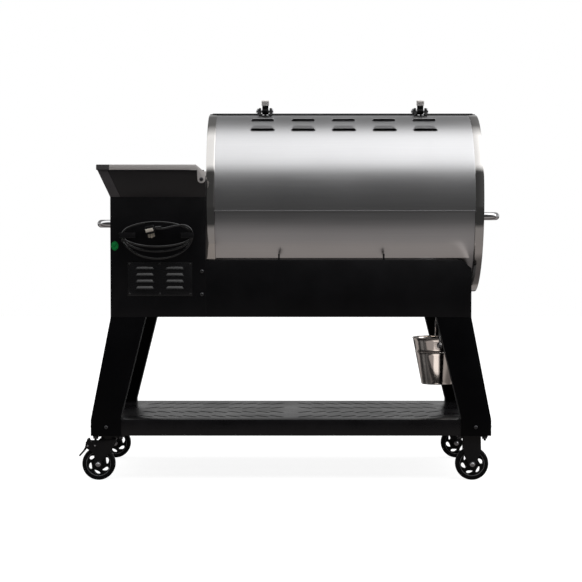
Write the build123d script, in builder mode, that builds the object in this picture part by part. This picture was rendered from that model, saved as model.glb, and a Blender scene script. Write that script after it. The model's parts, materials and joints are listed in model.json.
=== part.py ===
from build123d import *
import os
from math import cos, radians, sin

# Barrel pellet smoker grill on a wheeled cart.
# Frame: +Z up, the user stands on the -Y side, the pellet hopper is on the +X side.
# Origin: on the floor, under the middle of the whole grill. All sizes are in millimetres.

os.makedirs("parts", exist_ok=True)

# ---------------------------------------------------------------- driving dimensions
sheet = 2.5                     # cart sheet steel
skin = 1.5                      # stainless sheet of the barrel

body_half = 549.0               # cart body, half width
face_y = 289.0                  # outer face of the rear apron; the front one is at -face_y
body_bottom = 502.0
body_top = 676.0

foot_half = 611.0               # outer edge of the feet
shelf_bottom = 139.0
shelf_top = 188.0
leg_depth = 55.0                # channel depth of a leg, front to back
leg_inner_top = 443.0
leg_inner_foot = 519.0

barrel_r = 280.5                # outside of the rear shell
barrel_z = 851.0                # barrel axis height
barrel_low_x = -587.0
barrel_high_x = 258.0
barrel_mid_x = (barrel_low_x + barrel_high_x) / 2
seam_angle = -5.7               # rear seam between the two shells, degrees above the horizontal
lid_hinge_angle = 86.0          # top edge of the rear shell
lid_front_angle = 183.0         # front edge of the lower shell
lid_r = 282.5                   # inside of the lid
lid_skin = 1.8
band_width = 25.0

hinge_y = 30.0                  # lid hinge pin
hinge_z = 1143.0
hinge_spread = 246.0            # each hinge from the middle of the barrel

housing_in = 259.0              # hopper housing, barrel side
flare_bottom = 867.0
rim_z = 948.0
flare_out = 35.0                # how far the hopper mouth leans out
hopper_lid_top = 964.0
lid_pivot_x = 270.0
lid_pivot_z = 920.0

wheel_r = 50.8                  # 4 inch caster
caster_y = 254.0
swivel_x = 560.0
trail = 30.0
fixed_x = -555.0
bolt_reach = 38.0               # caster bolts from the plate's middle, left to right
bolt_side = 21.0                # and front to back
bolt_r = 4.0                    # M8 hexagon bolts

grate_ledge = 799.0             # top of the ledges that carry the grates
auger_z = 650.0
auger_tube_r = 29.0
duct_z = 600.0
duct_r = 15.0
igniter_y = -30.0
igniter_r = 5.0
probe_y = 60.0
probe_z = 760.0
probe_r = 3.0
pot_x = -60.0
drain_r = 13.0

bucket_x = -470.0
bucket_rim_z = 423.0
bail_pin_z = 401.0
bail_r = 84.0
bail_wire = 2.0
hook_z = 495.5

screw_r = 3.0                   # M6 button-head screws everywhere
screw_hole = screw_r + 0.3
rear_screw_x = 564.0
side_screw_y = 261.5
foot_screw_z = 165.0
housing_screw_x = 271.0
housing_screw_zs = (571.0, 641.0)

# Holes through the barrel end and the housing wall beside it: y, z and radius.
wall_holes = (
    (0, auger_z, auger_tube_r + 0.2), (0, duct_z, duct_r + 0.2),
    (igniter_y, duct_z, igniter_r + 0.2), (probe_y, probe_z, probe_r + 0.2),
)


# ---------------------------------------------------------------- shared shapes
def block(low, high, mode=Mode.ADD):
    """A box between two corners, in the part being built."""
    size = [b - a for a, b in zip(low, high)]
    middle = [(a + b) / 2 for a, b in zip(low, high)]
    with Locations(tuple(middle)):
        Box(*size, mode=mode)


def rod(start, end, radius, mode=Mode.ADD):
    """A round bar between two points, in the part being built."""
    along = Vector(*end) - Vector(*start)
    with Locations(Plane(origin=start, z_dir=along)):
        Cylinder(radius, along.length, align=(Align.CENTER, Align.CENTER, Align.MIN), mode=mode)


def on_barrel(angle, radius):
    """(y, z) of a point at an angle from the rear horizontal, about the barrel axis."""
    return radius * cos(radians(angle)), barrel_z + radius * sin(radians(angle))


def curved_sheet(inner, outer, start, end, low_x, high_x):
    """Part of a tube about the barrel axis, from one angle to another."""
    with BuildPart() as piece:
        with BuildSketch(Plane.YZ.offset(low_x)):
            with BuildLine():
                outside = CenterArc((0, barrel_z), outer, start, end - start)
                inside = CenterArc((0, barrel_z), inner, start, end - start)
                Line(outside @ 0, inside @ 0)
                Line(outside @ 1, inside @ 1)
            make_face()
        extrude(amount=high_x - low_x)
    return piece.part


def louvre(width, height, depth, wall):
    """A pressed hood that opens along its lower edge, standing out along local +Y."""
    taper = 0.22 * width
    with BuildPart() as hood:
        with BuildSketch(Plane.XY):
            with Locations((0, depth / 2)):
                Rectangle(width, depth)
        with BuildSketch(Plane.XY.offset(height)):
            with Locations((0, wall / 2)):
                Rectangle(width - taper, wall)
        loft()
        with BuildSketch(Plane.XY.offset(-0.01)):
            with Locations((0, (depth - wall) / 2)):
                Rectangle(width - 2 * wall, depth - wall)
        with BuildSketch(Plane.XY.offset(height - 2 * wall)):
            with Locations((0, wall / 4)):
                Rectangle(width - taper - 2 * wall, wall / 2)
        loft(mode=Mode.SUBTRACT)
    return hood.part


def chord_half(shift, lower):
    """The side of the barrel's end face under (or over) the line where the lid parts from it."""
    start = Vector(*on_barrel(lid_hinge_angle, barrel_r))
    end = Vector(*on_barrel(lid_front_angle, barrel_r))
    along = (end - start).normalized()
    up_front = Vector(along.Y, -along.X)
    side = up_front * (-1 if lower else 1) * 2 * barrel_r
    first = start - along * barrel_r + up_front * shift
    second = end + along * barrel_r + up_front * shift
    return [first, second, second + side, first + side]


def foot_holes():
    """The two screw holes of one foot, in the part being built."""
    rear = (rear_screw_x, face_y - 10, foot_screw_z)
    rod(rear, (rear_screw_x, face_y + 1, foot_screw_z), screw_hole, Mode.SUBTRACT)
    outer = (foot_half - 10, side_screw_y, foot_screw_z)
    rod(outer, (foot_half + 1, side_screw_y, foot_screw_z), screw_hole, Mode.SUBTRACT)


def bolt_places():
    """Where the caster bolts stand: four in each of the four top plates, as (x, y)."""
    places = []
    for plate_x in (swivel_x, fixed_x):
        for plate_y in (caster_y, -caster_y):
            for x in (plate_x - bolt_reach, plate_x + bolt_reach):
                places += [(x, plate_y - bolt_side), (x, plate_y + bolt_side)]
    return places


def bolt_holes(low, high):
    """Clearance holes for the caster bolts between two heights, in the part being built."""
    for x, y in bolt_places():
        rod((x, y, low), (x, y, high), bolt_r + 0.3, Mode.SUBTRACT)


# ---------------------------------------------------------------- cart
leg_outline = [
    (body_half, body_bottom), (foot_half, shelf_top), (foot_half, shelf_bottom),
    (leg_inner_foot, shelf_bottom), (leg_inner_foot, shelf_top + 10), (leg_inner_top, body_bottom),
]

with BuildPart() as leg:
    with BuildSketch(Plane.XZ.offset(-face_y)):
        with BuildLine():
            Polyline(*leg_outline, close=True)
        make_face()
    extrude(amount=leg_depth)
    with BuildSketch(Plane.XZ.offset(-face_y + sheet)):
        with BuildLine():
            Polyline(*leg_outline, close=True)
        make_face()
        offset(amount=-sheet, mode=Mode.REPLACE)
    extrude(amount=leg_depth, mode=Mode.SUBTRACT)
    block((0, 0, shelf_bottom - 1), (foot_half - sheet, face_y - sheet, shelf_top + 0.2), Mode.SUBTRACT)
    foot_holes()

with BuildPart() as rear_legs:
    add(leg.part)
    mirror(leg.part, about=Plane.YZ)
rear_legs.part.label = "rear_legs"
export_step(rear_legs.part, "parts/rear_legs.step")

with BuildPart() as front_legs:
    mirror(rear_legs.part, about=Plane.XZ)
front_legs.part.label = "front_legs"
export_step(front_legs.part, "parts/front_legs.step")

shelf_x = foot_half - sheet - 0.1
shelf_y = face_y - sheet - 0.1
slot_length = 62.0
slot_width = 12.0
slot_pitch = 45.0
slot_rows = (-189, -63, 63, 189)

with BuildPart() as bottom_shelf:
    block((-shelf_x, -shelf_y, shelf_bottom), (shelf_x, shelf_y, shelf_top))
    inside_low = (2 - shelf_x, 2 - shelf_y, shelf_bottom - 1)
    block(inside_low, (shelf_x - 2, shelf_y - 2, shelf_top - 2), Mode.SUBTRACT)
    with BuildSketch(Plane.XY.offset(shelf_top)):
        for row in slot_rows:
            for column in range(1, 11):
                for side in (-1, 1):
                    slant = -45 if row * side > 0 else 45
                    with Locations(Location((side * column * slot_pitch, row), slant)):
                        SlotOverall(slot_length, slot_width)
    extrude(amount=-4, mode=Mode.SUBTRACT)
    for x in (-1, 1):
        for y in (-1, 1):
            corner_x = sorted((x * 430, x * (shelf_x - 1)))
            corner_y = sorted((y * 205, y * (shelf_y - 1)))
            block((corner_x[0], corner_y[0], shelf_bottom), (corner_x[1], corner_y[1], shelf_bottom + 3))
            with Locations((x * rear_screw_x, y * (shelf_y - 1), foot_screw_z)):
                Cylinder(screw_hole, 6, rotation=(90, 0, 0), mode=Mode.SUBTRACT)
            with Locations((x * (shelf_x - 1), y * side_screw_y, foot_screw_z)):
                Cylinder(screw_hole, 6, rotation=(0, 90, 0), mode=Mode.SUBTRACT)
    bolt_holes(shelf_bottom - 1, shelf_bottom + 4)
bottom_shelf.part.label = "bottom_shelf"
export_step(bottom_shelf.part, "parts/bottom_shelf.step")

apron_end = housing_in - 0.2    # the aprons stop at the hopper housing
flange_in = 225.0               # inner edge of the top flange, just clear of the barrel

with BuildPart() as rear_apron:
    with BuildSketch(Plane.XZ.offset(-face_y)):
        with BuildLine():
            Polyline(
                (-body_half, body_bottom + 0.2), (apron_end, body_bottom + 0.2), (apron_end, body_top),
                (-517, body_top), (-body_half, 651), close=True,
            )
        make_face()
    extrude(amount=sheet)
    block((-510, flange_in, body_top - sheet), (apron_end, face_y, body_top))
    block((-body_half + sheet, face_y - 30, body_bottom + 0.2), (apron_end, face_y, body_bottom + sheet + 0.2))
    for tab_x in (37, -284):
        block((tab_x - 2.5, 234, body_top - 0.1), (tab_x + 2.5, 252, body_top + 18))
rear_apron.part.label = "rear_apron"
export_step(rear_apron.part, "parts/rear_apron.step")

with BuildPart() as front_apron:
    mirror(rear_apron.part, about=Plane.XZ)
front_apron.part.label = "front_apron"
export_step(front_apron.part, "parts/front_apron.step")

with BuildPart() as saddle_panel:
    inside_y = face_y - sheet - 0.1
    block((-body_half, -inside_y, body_bottom + 0.2), (-body_half + sheet - 0.1, inside_y, 651))
    block((-body_half, -200, body_bottom + 0.2), (-body_half + 40, 200, body_bottom + sheet))
    rod((-body_half - 1, 0, barrel_z), (-body_half + sheet, 0, barrel_z), barrel_r + 2.2, Mode.SUBTRACT)
saddle_panel.part.label = "saddle_panel"
export_step(saddle_panel.part, "parts/saddle_panel.step")

# ---------------------------------------------------------------- barrel
shell_low = barrel_low_x + skin
shell_high = barrel_high_x - skin
louvre_width = 76.0
louvre_height = 20.0
louvre_depth = 7.0
louvre_pitch = 126.3
louvre_angles = (53.6, 66.9)    # where each row's slit opens

hood = louvre(louvre_width, louvre_height, louvre_depth, skin)

with BuildPart() as barrel_rear_shell:
    add(curved_sheet(barrel_r - skin, barrel_r, seam_angle, lid_hinge_angle, shell_low, shell_high))
    hem_low = shell_low + band_width
    hem_high = shell_high - band_width
    add(curved_sheet(barrel_r - 0.5, barrel_r + 1, seam_angle, seam_angle + 0.7, hem_low, hem_high))
    for angle in louvre_angles:
        for column in range(-2, 3):
            y, z = on_barrel(angle, barrel_r - 1.2)
            tangent = Vector(0, -sin(radians(angle)), cos(radians(angle)))
            here = Plane(origin=(barrel_mid_x + column * louvre_pitch, y, z), x_dir=(-1, 0, 0), z_dir=tangent)
            with Locations(here):
                Box(
                    louvre_width - 6, 6, louvre_height - 7,
                    align=(Align.CENTER, Align.CENTER, Align.MIN), mode=Mode.SUBTRACT,
                )
            add(here * hood)
barrel_rear_shell.part.label = "barrel_rear_shell"
export_step(barrel_rear_shell.part, "parts/barrel_rear_shell.step")

drain_x = bucket_x + 25

with BuildPart() as barrel_lower_shell:
    inner_r = barrel_r - 2 * skin - 0.2
    add(curved_sheet(inner_r, inner_r + skin, lid_front_angle, 360 + seam_angle + 3, shell_low, shell_high))
    for side in (-1, 1):
        edges = sorted((side * 248, side * 272.5))
        block((shell_low, edges[0], 796), (shell_high, edges[1], grate_ledge))
    rod((drain_x, 0, 500), (drain_x, 0, 640), drain_r + 0.2, Mode.SUBTRACT)
barrel_lower_shell.part.label = "barrel_lower_shell"
export_step(barrel_lower_shell.part, "parts/barrel_lower_shell.step")

with BuildPart() as barrel_ends:
    for x in (barrel_low_x, shell_high):
        with BuildSketch(Plane.YZ.offset(x)):
            with Locations((0, barrel_z)):
                Circle(barrel_r)
            with BuildLine():
                Polyline(*chord_half(0, lower=False), close=True)
            make_face(mode=Mode.SUBTRACT)
        extrude(amount=skin)
    for y, z, radius in wall_holes:
        rod((shell_high - 1, y, z), (barrel_high_x + 1, y, z), radius, Mode.SUBTRACT)
barrel_ends.part.label = "barrel_ends"
export_step(barrel_ends.part, "parts/barrel_ends.step")

band_sides = ((barrel_low_x, barrel_low_x + band_width), (barrel_high_x - band_width, barrel_high_x))

with BuildPart() as end_bands:
    for low_x, high_x in band_sides:
        start = lid_front_angle - 360 + 7
        add(curved_sheet(barrel_r + 0.1, barrel_r + 1.3, start, lid_hinge_angle, low_x, high_x))
end_bands.part.label = "end_bands"
export_step(end_bands.part, "parts/end_bands.step")

# ---------------------------------------------------------------- lid
lid_out = lid_r + lid_skin
gauge_angle = 142.0
gauge_y, gauge_z = on_barrel(gauge_angle, lid_out + 0.2)
gauge = Plane(
    origin=(barrel_mid_x, gauge_y, gauge_z), x_dir=(1, 0, 0),
    z_dir=(0, cos(radians(gauge_angle)), sin(radians(gauge_angle))),
)
post_xs = (barrel_mid_x - 300, barrel_mid_x + 300)
handle_y = -336.0
handle_r = 14.0

with BuildPart() as lid_shell:
    add(curved_sheet(lid_r, lid_out, 88, 189, barrel_low_x, barrel_high_x))
    for x in (barrel_low_x, barrel_high_x - lid_skin):
        with BuildSketch(Plane.YZ.offset(x)):
            with Locations((0, barrel_z)):
                Circle(lid_r + 0.5)
            with BuildLine():
                Polyline(*chord_half(2.5, lower=True), close=True)
            make_face(mode=Mode.SUBTRACT)
            with Locations((0, barrel_z + 300)):
                Rectangle(2 * on_barrel(88, lid_r)[0] + 0.1, 2, mode=Mode.SUBTRACT)
        extrude(amount=lid_skin)
    with Locations(gauge):
        Cylinder(4.3, 20, mode=Mode.SUBTRACT)
lid_shell.part.label = "lid_shell"
export_step(lid_shell.part, "parts/lid_shell.step")

with BuildPart() as lid_bands:
    for low_x, high_x in band_sides:
        add(curved_sheet(lid_out + 0.1, lid_out + 1.2, 91.7, 189, low_x, high_x))
lid_bands.part.label = "lid_bands"
export_step(lid_bands.part, "parts/lid_bands.step")

with BuildPart() as lid_rear_rail:
    add(curved_sheet(lid_out + 0.1, lid_out + 2.2, 87.6, 91.5, barrel_low_x + 8, barrel_high_x - 8))
lid_rear_rail.part.label = "lid_rear_rail"
export_step(lid_rear_rail.part, "parts/lid_rear_rail.step")

with BuildPart() as lid_handle_bar:
    rod((barrel_mid_x - 340, handle_y, barrel_z), (barrel_mid_x + 340, handle_y, barrel_z), handle_r)
    fillet(lid_handle_bar.edges().filter_by(GeomType.CIRCLE), 5)
lid_handle_bar.part.label = "lid_handle_bar"
export_step(lid_handle_bar.part, "parts/lid_handle_bar.step")

with BuildPart() as lid_handle_posts:
    for x in post_xs:
        rod((x, handle_y, barrel_z), (x, -lid_out - 0.1, barrel_z), 9)
        rod((x, -lid_out - 4.1, barrel_z), (x, -lid_out - 0.1, barrel_z), 17)
    rod((barrel_low_x, handle_y, barrel_z), (barrel_high_x, handle_y, barrel_z), handle_r + 0.05, Mode.SUBTRACT)
lid_handle_posts.part.label = "lid_handle_posts"
export_step(lid_handle_posts.part, "parts/lid_handle_posts.step")

# ---------------------------------------------------------------- lid hinges
hinge_xs = (barrel_mid_x - hinge_spread, barrel_mid_x + hinge_spread)
arm_half = 9.8
ear_in = 13.5
ear_out = 20.5
pin_r = 5.0

with BuildPart() as hinge_brackets:
    for x in hinge_xs:
        for low_x in (x - ear_out, x + ear_in):
            with BuildSketch(Plane.YZ.offset(low_x)):
                with BuildLine():
                    Polyline(
                        (16, hinge_z - 20), (hinge_y - 10, hinge_z), (hinge_y + 10, hinge_z),
                        (58, hinge_z - 22), (58, hinge_z - 30), (16, hinge_z - 30), close=True,
                    )
                make_face()
                with Locations((hinge_y, hinge_z)):
                    Circle(10.5)
                    Circle(pin_r + 0.02, mode=Mode.SUBTRACT)
                with Locations((0, barrel_z)):
                    Circle(barrel_r + 0.1, mode=Mode.SUBTRACT)
            extrude(amount=ear_out - ear_in)
        add(curved_sheet(barrel_r + 0.1, barrel_r + 3.1, 77.6, 85.6, x - ear_out, x + ear_out))
hinge_brackets.part.label = "hinge_brackets"
export_step(hinge_brackets.part, "parts/hinge_brackets.step")

stop_angle = 74.0               # the stop arm leans this far up from the rear horizontal
stop_dir = Vector(0, cos(radians(stop_angle)), sin(radians(stop_angle)))

with BuildPart() as hinge_arms:
    for x in hinge_xs:
        add(curved_sheet(lid_out + 2.3, lid_out + 6.3, 89, 103, x - arm_half, x + arm_half))
        with BuildSketch(Plane.YZ.offset(x - arm_half)):
            with BuildLine():
                Polyline(
                    on_barrel(92, lid_out + 2.3), on_barrel(92, lid_out + 6.3),
                    (hinge_y, hinge_z + 9), (hinge_y, hinge_z - 5), close=True,
                )
            make_face()
            with Locations((hinge_y, hinge_z)):
                Circle(9)
                Circle(pin_r + 0.05, mode=Mode.SUBTRACT)
        extrude(amount=2 * arm_half)
        low = Vector(x, hinge_y, hinge_z) + stop_dir * 8
        with BuildSketch(Plane(origin=low, x_dir=(1, 0, 0), z_dir=stop_dir)):
            Rectangle(2 * arm_half, 7)
        extrude(amount=11)
hinge_arms.part.label = "hinge_arms"
export_step(hinge_arms.part, "parts/hinge_arms.step")

with BuildPart() as lid_bumpers:
    for x in hinge_xs:
        low = Vector(x, hinge_y, hinge_z) + stop_dir * 19.1
        with BuildSketch(Plane(origin=low, x_dir=(1, 0, 0), z_dir=stop_dir)):
            RectangleRounded(24, 12, 3)
        extrude(amount=15)
lid_bumpers.part.label = "lid_bumpers"
export_step(lid_bumpers.part, "parts/lid_bumpers.step")

with BuildPart() as hinge_bolts:
    for x in hinge_xs:
        rod((x - ear_out - 5, hinge_y, hinge_z), (x + ear_out + 8, hinge_y, hinge_z), pin_r)
        rod((x - ear_out - 5, hinge_y, hinge_z), (x - ear_out - 0.1, hinge_y, hinge_z), 8)
        with BuildSketch(Plane.YZ.offset(x + ear_out + 0.1)):
            with Locations((hinge_y, hinge_z)):
                RegularPolygon(8.5, 6)
        extrude(amount=5)
hinge_bolts.part.label = "hinge_bolts"
export_step(hinge_bolts.part, "parts/hinge_bolts.step")

# ---------------------------------------------------------------- lid thermometer
dial_r = 38.0

with BuildPart() as thermometer_case:
    with BuildSketch(gauge):
        Circle(dial_r)
    extrude(amount=16)
    with BuildSketch(gauge.offset(3)):
        Circle(dial_r - 3)
    extrude(amount=20, mode=Mode.SUBTRACT)
    with BuildSketch(gauge.offset(-70)):
        Circle(4)
    extrude(amount=71)
    with BuildSketch(gauge):
        Circle(1.5)
    extrude(amount=9)
thermometer_case.part.label = "thermometer_case"
export_step(thermometer_case.part, "parts/thermometer_case.step")

with BuildPart() as thermometer_lens:
    with BuildSketch(gauge.offset(12)):
        Circle(dial_r - 3.1)
    extrude(amount=2.5)
thermometer_lens.part.label = "thermometer_lens"
export_step(thermometer_lens.part, "parts/thermometer_lens.step")

with BuildPart() as thermometer_needle:
    with BuildSketch(gauge.offset(6.5)):
        Circle(4)
        with Locations(Location((-8.5, -8.5), 45)):
            Rectangle(30, 2)
        Circle(1.55, mode=Mode.SUBTRACT)
    extrude(amount=1.2)
thermometer_needle.part.label = "thermometer_needle"
export_step(thermometer_needle.part, "parts/thermometer_needle.step")

# ---------------------------------------------------------------- hopper
housing_y = face_y
fan_x = 345.0
fan_z = 568.0
panel_low = (310.0, 715.0)      # control panel corners, x and z
panel_high = (505.0, 845.0)
knob_x = 375.0
button_x = 455.0
controls_z = 755.0
access_low = (300.0, 566.0)     # rear access panel corners, x and z
access_high = (497.0, 670.0)
access_louvre = 56.0
access_columns = (353.0, 444.0)
access_rows = (587.0, 607.0, 627.0, 647.0)

with BuildPart() as hopper_housing:
    block((housing_in, -housing_y, body_bottom + 0.2), (body_half, housing_y, flare_bottom))
    block(
        (housing_in + sheet, -housing_y + sheet, body_bottom + sheet + 0.2),
        (body_half - sheet, housing_y - sheet, flare_bottom + 1), Mode.SUBTRACT,
    )
    for y, z, radius in wall_holes:
        rod((housing_in - 1, y, z), (housing_in + sheet + 1, y, z), radius, Mode.SUBTRACT)
    block(
        (access_low[0] + 10, housing_y - 5, access_low[1] + 10),
        (access_high[0] - 10, housing_y + 1, access_high[1] - 10), Mode.SUBTRACT,
    )
    block(
        (panel_low[0] + 8, -housing_y - 1, panel_low[1] + 8),
        (panel_high[0] - 8, -housing_y + 5, panel_high[1] - 8), Mode.SUBTRACT,
    )
    for z in housing_screw_zs:
        front = (housing_screw_x, -housing_y - 1, z)
        rod(front, (housing_screw_x, housing_y + 1, z), screw_hole, Mode.SUBTRACT)
    with BuildSketch(Plane.XY.offset(body_bottom)):
        with Locations(((housing_in + body_half) / 2, 0)):
            with GridLocations(60, 24, 4, 12):
                SlotOverall(44, 8)
    extrude(amount=sheet + 1, mode=Mode.SUBTRACT)
hopper_housing.part.label = "hopper_housing"
export_step(hopper_housing.part, "parts/hopper_housing.step")

rear_face = housing_y + 0.1
access_vent = louvre(access_louvre, 9, 5, 1.2)

with BuildPart() as access_panel:
    block((access_low[0], rear_face, access_low[1]), (access_high[0], rear_face + 1.5, access_high[1]))
    for x in access_columns:
        for z in access_rows:
            block((x - 24, rear_face - 1, z), (x + 24, rear_face + 2, z + 5), Mode.SUBTRACT)
            add(Pos(x, rear_face + 0.5, z) * access_vent)
access_panel.part.label = "access_panel"
export_step(access_panel.part, "parts/access_panel.step")


def tapered(low, high, low_z, high_z):
    """A straight-sided funnel between two rectangles, each (x from, x to, half depth)."""
    with BuildPart() as funnel:
        for size, z in ((low, low_z), (high, high_z)):
            with BuildSketch(Plane.XY.offset(z)):
                with Locations(((size[0] + size[1]) / 2, 0)):
                    Rectangle(size[1] - size[0], 2 * size[2])
        loft()
    return funnel.part


mouth_x = body_half + flare_out
mouth_y = housing_y + flare_out
boss_y = 325.2
ear_y = 325.5

with BuildPart() as hopper_flare:
    add(tapered((housing_in, body_half, housing_y), (housing_in, mouth_x, mouth_y), flare_bottom + 0.1, rim_z))
    wall = 1.1 * sheet
    low = (housing_in + wall, body_half - wall, housing_y - wall)
    high = (housing_in + wall, mouth_x - wall, mouth_y - wall)
    add(tapered(low, high, flare_bottom + 0.1, rim_z), mode=Mode.SUBTRACT)
    block((housing_in - 1, -mouth_y - 1, 923), (housing_in + wall + 0.5, mouth_y + 1, rim_z + 1), Mode.SUBTRACT)
    for side in (-1, 1):
        rod((lid_pivot_x, side * 310, lid_pivot_z), (lid_pivot_x, side * boss_y, lid_pivot_z), 7)
        inner = (lid_pivot_x, side * 300, lid_pivot_z)
        rod(inner, (lid_pivot_x, side * 330, lid_pivot_z), screw_hole, Mode.SUBTRACT)
hopper_flare.part.label = "hopper_flare"
export_step(hopper_flare.part, "parts/hopper_flare.step")

bin_top = 916.0
bin_throat = 690.0
throat = (378.0, 422.0, 22.0)
bin_mouth = (275.0, 560.0, 295.0)
bin_skin = 1.5


def inset(size, amount):
    return size[0] + amount, size[1] - amount, size[2] - amount


with BuildPart() as hopper_bin:
    add(tapered(throat, bin_mouth, bin_throat, bin_top))
    block((262.5, -305, bin_top - 2), (565, 305, bin_top))
    block((throat[0], -throat[2], auger_z + 10), (throat[1], throat[2], bin_throat))
    add(tapered(inset(throat, bin_skin), inset(bin_mouth, bin_skin), bin_throat, bin_top), mode=Mode.SUBTRACT)
    passage = inset(throat, bin_skin)
    block((passage[0], -passage[2], auger_z), (passage[1], passage[2], bin_throat), Mode.SUBTRACT)
    rod((throat[0] - 9, 0, auger_z), (throat[1] + 9, 0, auger_z), auger_tube_r + 0.1, Mode.SUBTRACT)
hopper_bin.part.label = "hopper_bin"
export_step(hopper_bin.part, "parts/hopper_bin.step")

grip_x = 548.0
hopper_lid_y = ear_y + 2
hopper_lid_end = 587.0

with BuildPart() as hopper_lid:
    block((330, -hopper_lid_y, hopper_lid_top - 2), (grip_x - 0.1, hopper_lid_y, hopper_lid_top))
    with BuildSketch(Plane.XZ.offset(-308)):
        with BuildLine():
            Polyline(
                (332, hopper_lid_top), (329, hopper_lid_top), (282, 931), (283.2, 929.4),
                (330, hopper_lid_top - 2), (332, hopper_lid_top - 2), close=True,
            )
        make_face()
    extrude(amount=616)
    for low_y in (ear_y, -hopper_lid_y):
        with BuildSketch(Plane.XZ.offset(-low_y - 2)):
            with BuildLine():
                Polyline(
                    (grip_x - 0.1, hopper_lid_top), (287, hopper_lid_top), (258, 940), (258, lid_pivot_z),
                    (282, lid_pivot_z), (283, rim_z + 0.3), (grip_x - 0.1, rim_z + 0.3), close=True,
                )
            make_face()
            with Locations((lid_pivot_x, lid_pivot_z)):
                Circle(12)
                Circle(screw_r + 0.05, mode=Mode.SUBTRACT)
        extrude(amount=2)
hopper_lid.part.label = "hopper_lid"
export_step(hopper_lid.part, "parts/hopper_lid.step")

with BuildPart() as hopper_lid_grip:
    block((grip_x, -hopper_lid_y, rim_z + 0.3), (hopper_lid_end, hopper_lid_y, hopper_lid_top))
    block((grip_x - 1, -ear_y, rim_z), (hopper_lid_end - 2, ear_y, hopper_lid_top - 2), Mode.SUBTRACT)
    fillet(hopper_lid_grip.edges().filter_by(Axis.Y).group_by(Axis.X)[-1].group_by(Axis.Z)[-1], 2)
hopper_lid_grip.part.label = "hopper_lid_grip"
export_step(hopper_lid_grip.part, "parts/hopper_lid_grip.step")

# ---------------------------------------------------------------- feed, fan and fire
auger_end = 453.0
shaft_r = 6.0
flight_r = 24.0
flight_pitch = 36.0

with BuildPart() as auger_tube:
    rod((pot_x + 46, 0, auger_z), (auger_end, 0, auger_z), auger_tube_r)
    rod((pot_x, 0, auger_z), (auger_end + 1, 0, auger_z), auger_tube_r - 2, Mode.SUBTRACT)
    block((passage[0], -passage[2], auger_z), (passage[1], passage[2], auger_z + 40), Mode.SUBTRACT)
auger_tube.part.label = "auger_tube"
export_step(auger_tube.part, "parts/auger_tube.step")

with BuildPart() as flight:
    with BuildLine() as flight_path:
        Helix(flight_pitch, 12 * flight_pitch, flight_r / 2 + 2)
    with BuildSketch(Plane(origin=flight_path.line @ 0, x_dir=(1, 0, 0), z_dir=flight_path.line % 0)):
        Rectangle(flight_r - 4, 2.5)
    sweep(path=flight_path.line, is_frenet=True)

with BuildPart() as auger_screw:
    add(Location((0, 0, auger_z), (0, 90, 0)) * flight.part)
    rod((-8, 0, auger_z), (auger_end + 25, 0, auger_z), shaft_r)
auger_screw.part.label = "auger_screw"
export_step(auger_screw.part, "parts/auger_screw.step")

with BuildPart() as auger_motor:
    block((auger_end + 0.1, -38, auger_z - 36), (auger_end + 32, 38, auger_z + 36))
    rod((auger_end + 32, 0, auger_z), (auger_end + 84, 0, auger_z), 27)
    rod((auger_end, 0, auger_z), (auger_end + 28, 0, auger_z), shaft_r + 0.05, Mode.SUBTRACT)
auger_motor.part.label = "auger_motor"
export_step(auger_motor.part, "parts/auger_motor.step")

scroll_r = 47.0
scroll_half = 22.0
impeller_r = 38.0
impeller_shaft = 3.0

with BuildPart() as fan_housing:
    rod((fan_x, -scroll_half, fan_z), (fan_x, scroll_half, fan_z), scroll_r)
    block((fan_x - 60, -scroll_half, duct_z - duct_r), (fan_x, scroll_half, duct_z + duct_r))
    rod((pot_x + 46, 0, duct_z), (fan_x - 59, 0, duct_z), duct_r)
    rod((fan_x, -scroll_half + 1.5, fan_z), (fan_x, scroll_half - 1.5, fan_z), scroll_r - 1.5, Mode.SUBTRACT)
    block(
        (fan_x - 58.5, -scroll_half + 1.5, duct_z - duct_r + 1.5),
        (fan_x, scroll_half - 1.5, duct_z + duct_r - 1.5), Mode.SUBTRACT,
    )
    rod((pot_x, 0, duct_z), (fan_x - 58, 0, duct_z), duct_r - 1.5, Mode.SUBTRACT)
    rod((fan_x, 0, fan_z), (fan_x, scroll_half + 1, fan_z), 22, Mode.SUBTRACT)
    rod((fan_x, -scroll_half - 32, fan_z), (fan_x, -scroll_half, fan_z), 25)
    rod((fan_x, -scroll_half - 28, fan_z), (fan_x, 0, fan_z), impeller_shaft + 0.05, Mode.SUBTRACT)
fan_housing.part.label = "fan_housing"
export_step(fan_housing.part, "parts/fan_housing.step")

with BuildPart() as fan_impeller:
    rod((fan_x, -scroll_half - 26, fan_z), (fan_x, -2, fan_z), impeller_shaft)
    rod((fan_x, -16, fan_z), (fan_x, -4, fan_z), 9)
    rod((fan_x, -17, fan_z), (fan_x, -15.5, fan_z), impeller_r)
    with BuildSketch(Plane(origin=(fan_x, -16, fan_z), x_dir=(1, 0, 0), z_dir=(0, 1, 0))):
        with PolarLocations(29, 12):
            with Locations(Location((0, 0), 35)):
                Rectangle(17, 1.6)
    extrude(amount=30)
fan_impeller.part.label = "fan_impeller"
export_step(fan_impeller.part, "parts/fan_impeller.step")

pot_r = 50.0

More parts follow.
